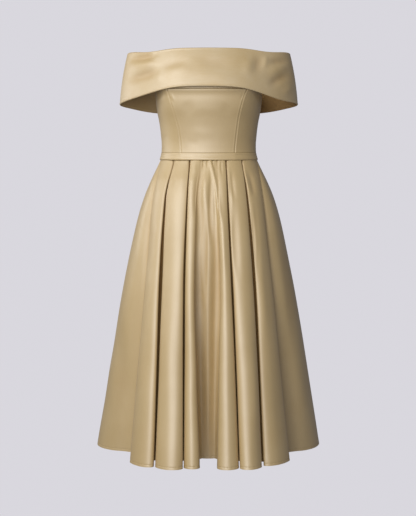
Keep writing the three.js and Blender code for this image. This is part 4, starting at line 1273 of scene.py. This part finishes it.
class DRESS_OT_zip(bpy.types.Operator):
    """Concealed zip in the left side seam: tape, coil, slider and pull tab"""

    bl_idname = "dress.zip"
    bl_label = "Zip"

    def execute(self, context):
        finishes = {"zip_tape": "zip_tape", "zip_slider": "zip_metal", "zip_pull": "zip_metal"}
        for node, key in finishes.items():
            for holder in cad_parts[node].material_slots:
                holder.material = material_of(context, key)
        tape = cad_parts["zip_tape"]
        points = np.array([tape.matrix_world @ vertex.co for vertex in tape.data.vertices]) / MM
        heights = np.round(points[:, 2])
        levels = np.unique(heights)
        middles = np.array([points[heights == level].mean(axis=0) for level in levels])
        rise = np.arange(middles[0, 2] + COIL_FROM_FOOT, middles[-1, 2] - COIL_BELOW_TOP, COIL_PITCH)
        centre = np.stack([np.interp(rise, middles[:, 2], middles[:, i]) for i in range(3)], axis=1)
        inward = unit(centre * np.array([-1, -1, 0]))
        half = np.cross(inward, (0, 0, 1)) * COIL_HALF_WIDTH
        centre = centre + inward * COIL_BEHIND_TAPE
        material = material_of(context, "zip_tape")
        rods("zip_coil", centre - half, centre + half, inward, COIL_RADIUS, material)
        return {"FINISHED"}


class DRESS_OT_stage(bpy.types.Operator):
    """Camera at the photo's height and distance, an even pale surround and soft studio light"""

    bl_idname = "dress.stage"
    bl_label = "Stage"

    def execute(self, context):
        stage = context.scene.dress_stage
        self.camera(context, stage)
        for name, light in LIGHTS.items():
            self.light(context, name, getattr(stage, f"{name}_power"), **light)
        self.surround(context, stage)
        return {"FINISHED"}

    @staticmethod
    def put(context, data, place, turn):
        """Sets a camera or a lamp up at its place"""
        item = bpy.data.objects.new(data.name, data)
        item.location = place
        item.rotation_euler = turn
        context.scene.collection.objects.link(item)
        return item

    def camera(self, context, stage):
        data = bpy.data.cameras.new("studio_camera")
        data.lens = stage.lens
        data.sensor_width = SENSOR_WIDTH
        data.shift_y = CAMERA_SHIFT_UP
        place = (CAMERA_ASIDE, -stage.distance, CAMERA_HEIGHT)
        context.scene.camera = self.put(context, data, place, (math.radians(90), 0, 0))

    def light(self, context, name, watts, place, aim, size, tint):
        """A round soft light that faces its aim"""
        data = bpy.data.lights.new(name, "AREA")
        data.shape = "DISK"
        data.size = size
        data.energy = watts
        data.color = tint
        way = np.array(place) - np.array(aim)
        tilt = math.atan2(math.hypot(way[0], way[1]), way[2])
        self.put(context, data, place, (tilt, 0, math.atan2(way[1], way[0]) + math.pi / 2))

    @staticmethod
    def surround(context, stage):
        """Bright behind the dress, dimmer as the light that falls on it"""
        world = bpy.data.worlds.new("studio")
        nodes = Nodes(world)
        seen = nodes.add("ShaderNodeLightPath", output="is_camera_ray")
        strength = nodes.ranged(seen, 0.0, 1.0, stage.surround, 1.0)
        colour = context.scene.dress_colours.backdrop
        surface = nodes.add("ShaderNodeBackground", color=colour, strength=strength)
        nodes.add("ShaderNodeOutputWorld", surface=surface)
        context.scene.world = world
        context.scene.view_settings.view_transform = "Standard"


class DRESS_PT_panel(bpy.types.Panel):
    """Steps of the dress in the 3D view's sidebar"""

    bl_idname = "DRESS_PT_panel"
    bl_label = "Folded-band dress"
    bl_space_type = "VIEW_3D"
    bl_region_type = "UI"
    bl_category = "Dress"

    def draw(self, context):
        for group in (context.scene.dress_sizes, context.scene.dress_colours, context.scene.dress_stage):
            for name in group.__annotations__:
                self.layout.prop(group, name)
        for step in STEPS:
            self.layout.operator(step.bl_idname)


STEPS = (DRESS_OT_skirt, DRESS_OT_waistband, DRESS_OT_bodice, DRESS_OT_band, DRESS_OT_zip, DRESS_OT_stage)
CLASSES = (DressSizes, DressColours, DressStage, *STEPS, DRESS_PT_panel)


def register():
    for item in CLASSES:
        bpy.utils.register_class(item)
    bpy.types.Scene.dress_sizes = PointerProperty(type=DressSizes)
    bpy.types.Scene.dress_colours = PointerProperty(type=DressColours)
    bpy.types.Scene.dress_stage = PointerProperty(type=DressStage)


def unregister():
    del bpy.types.Scene.dress_stage
    del bpy.types.Scene.dress_colours
    del bpy.types.Scene.dress_sizes
    for item in reversed(CLASSES):
        bpy.utils.unregister_class(item)


def main():
    register()
    bpy.ops.dress.skirt()
    bpy.ops.dress.waistband()
    bpy.ops.dress.bodice()
    bpy.ops.dress.band()
    bpy.ops.dress.zip()
    bpy.ops.dress.stage()


if __name__ == "__main__":
    main()
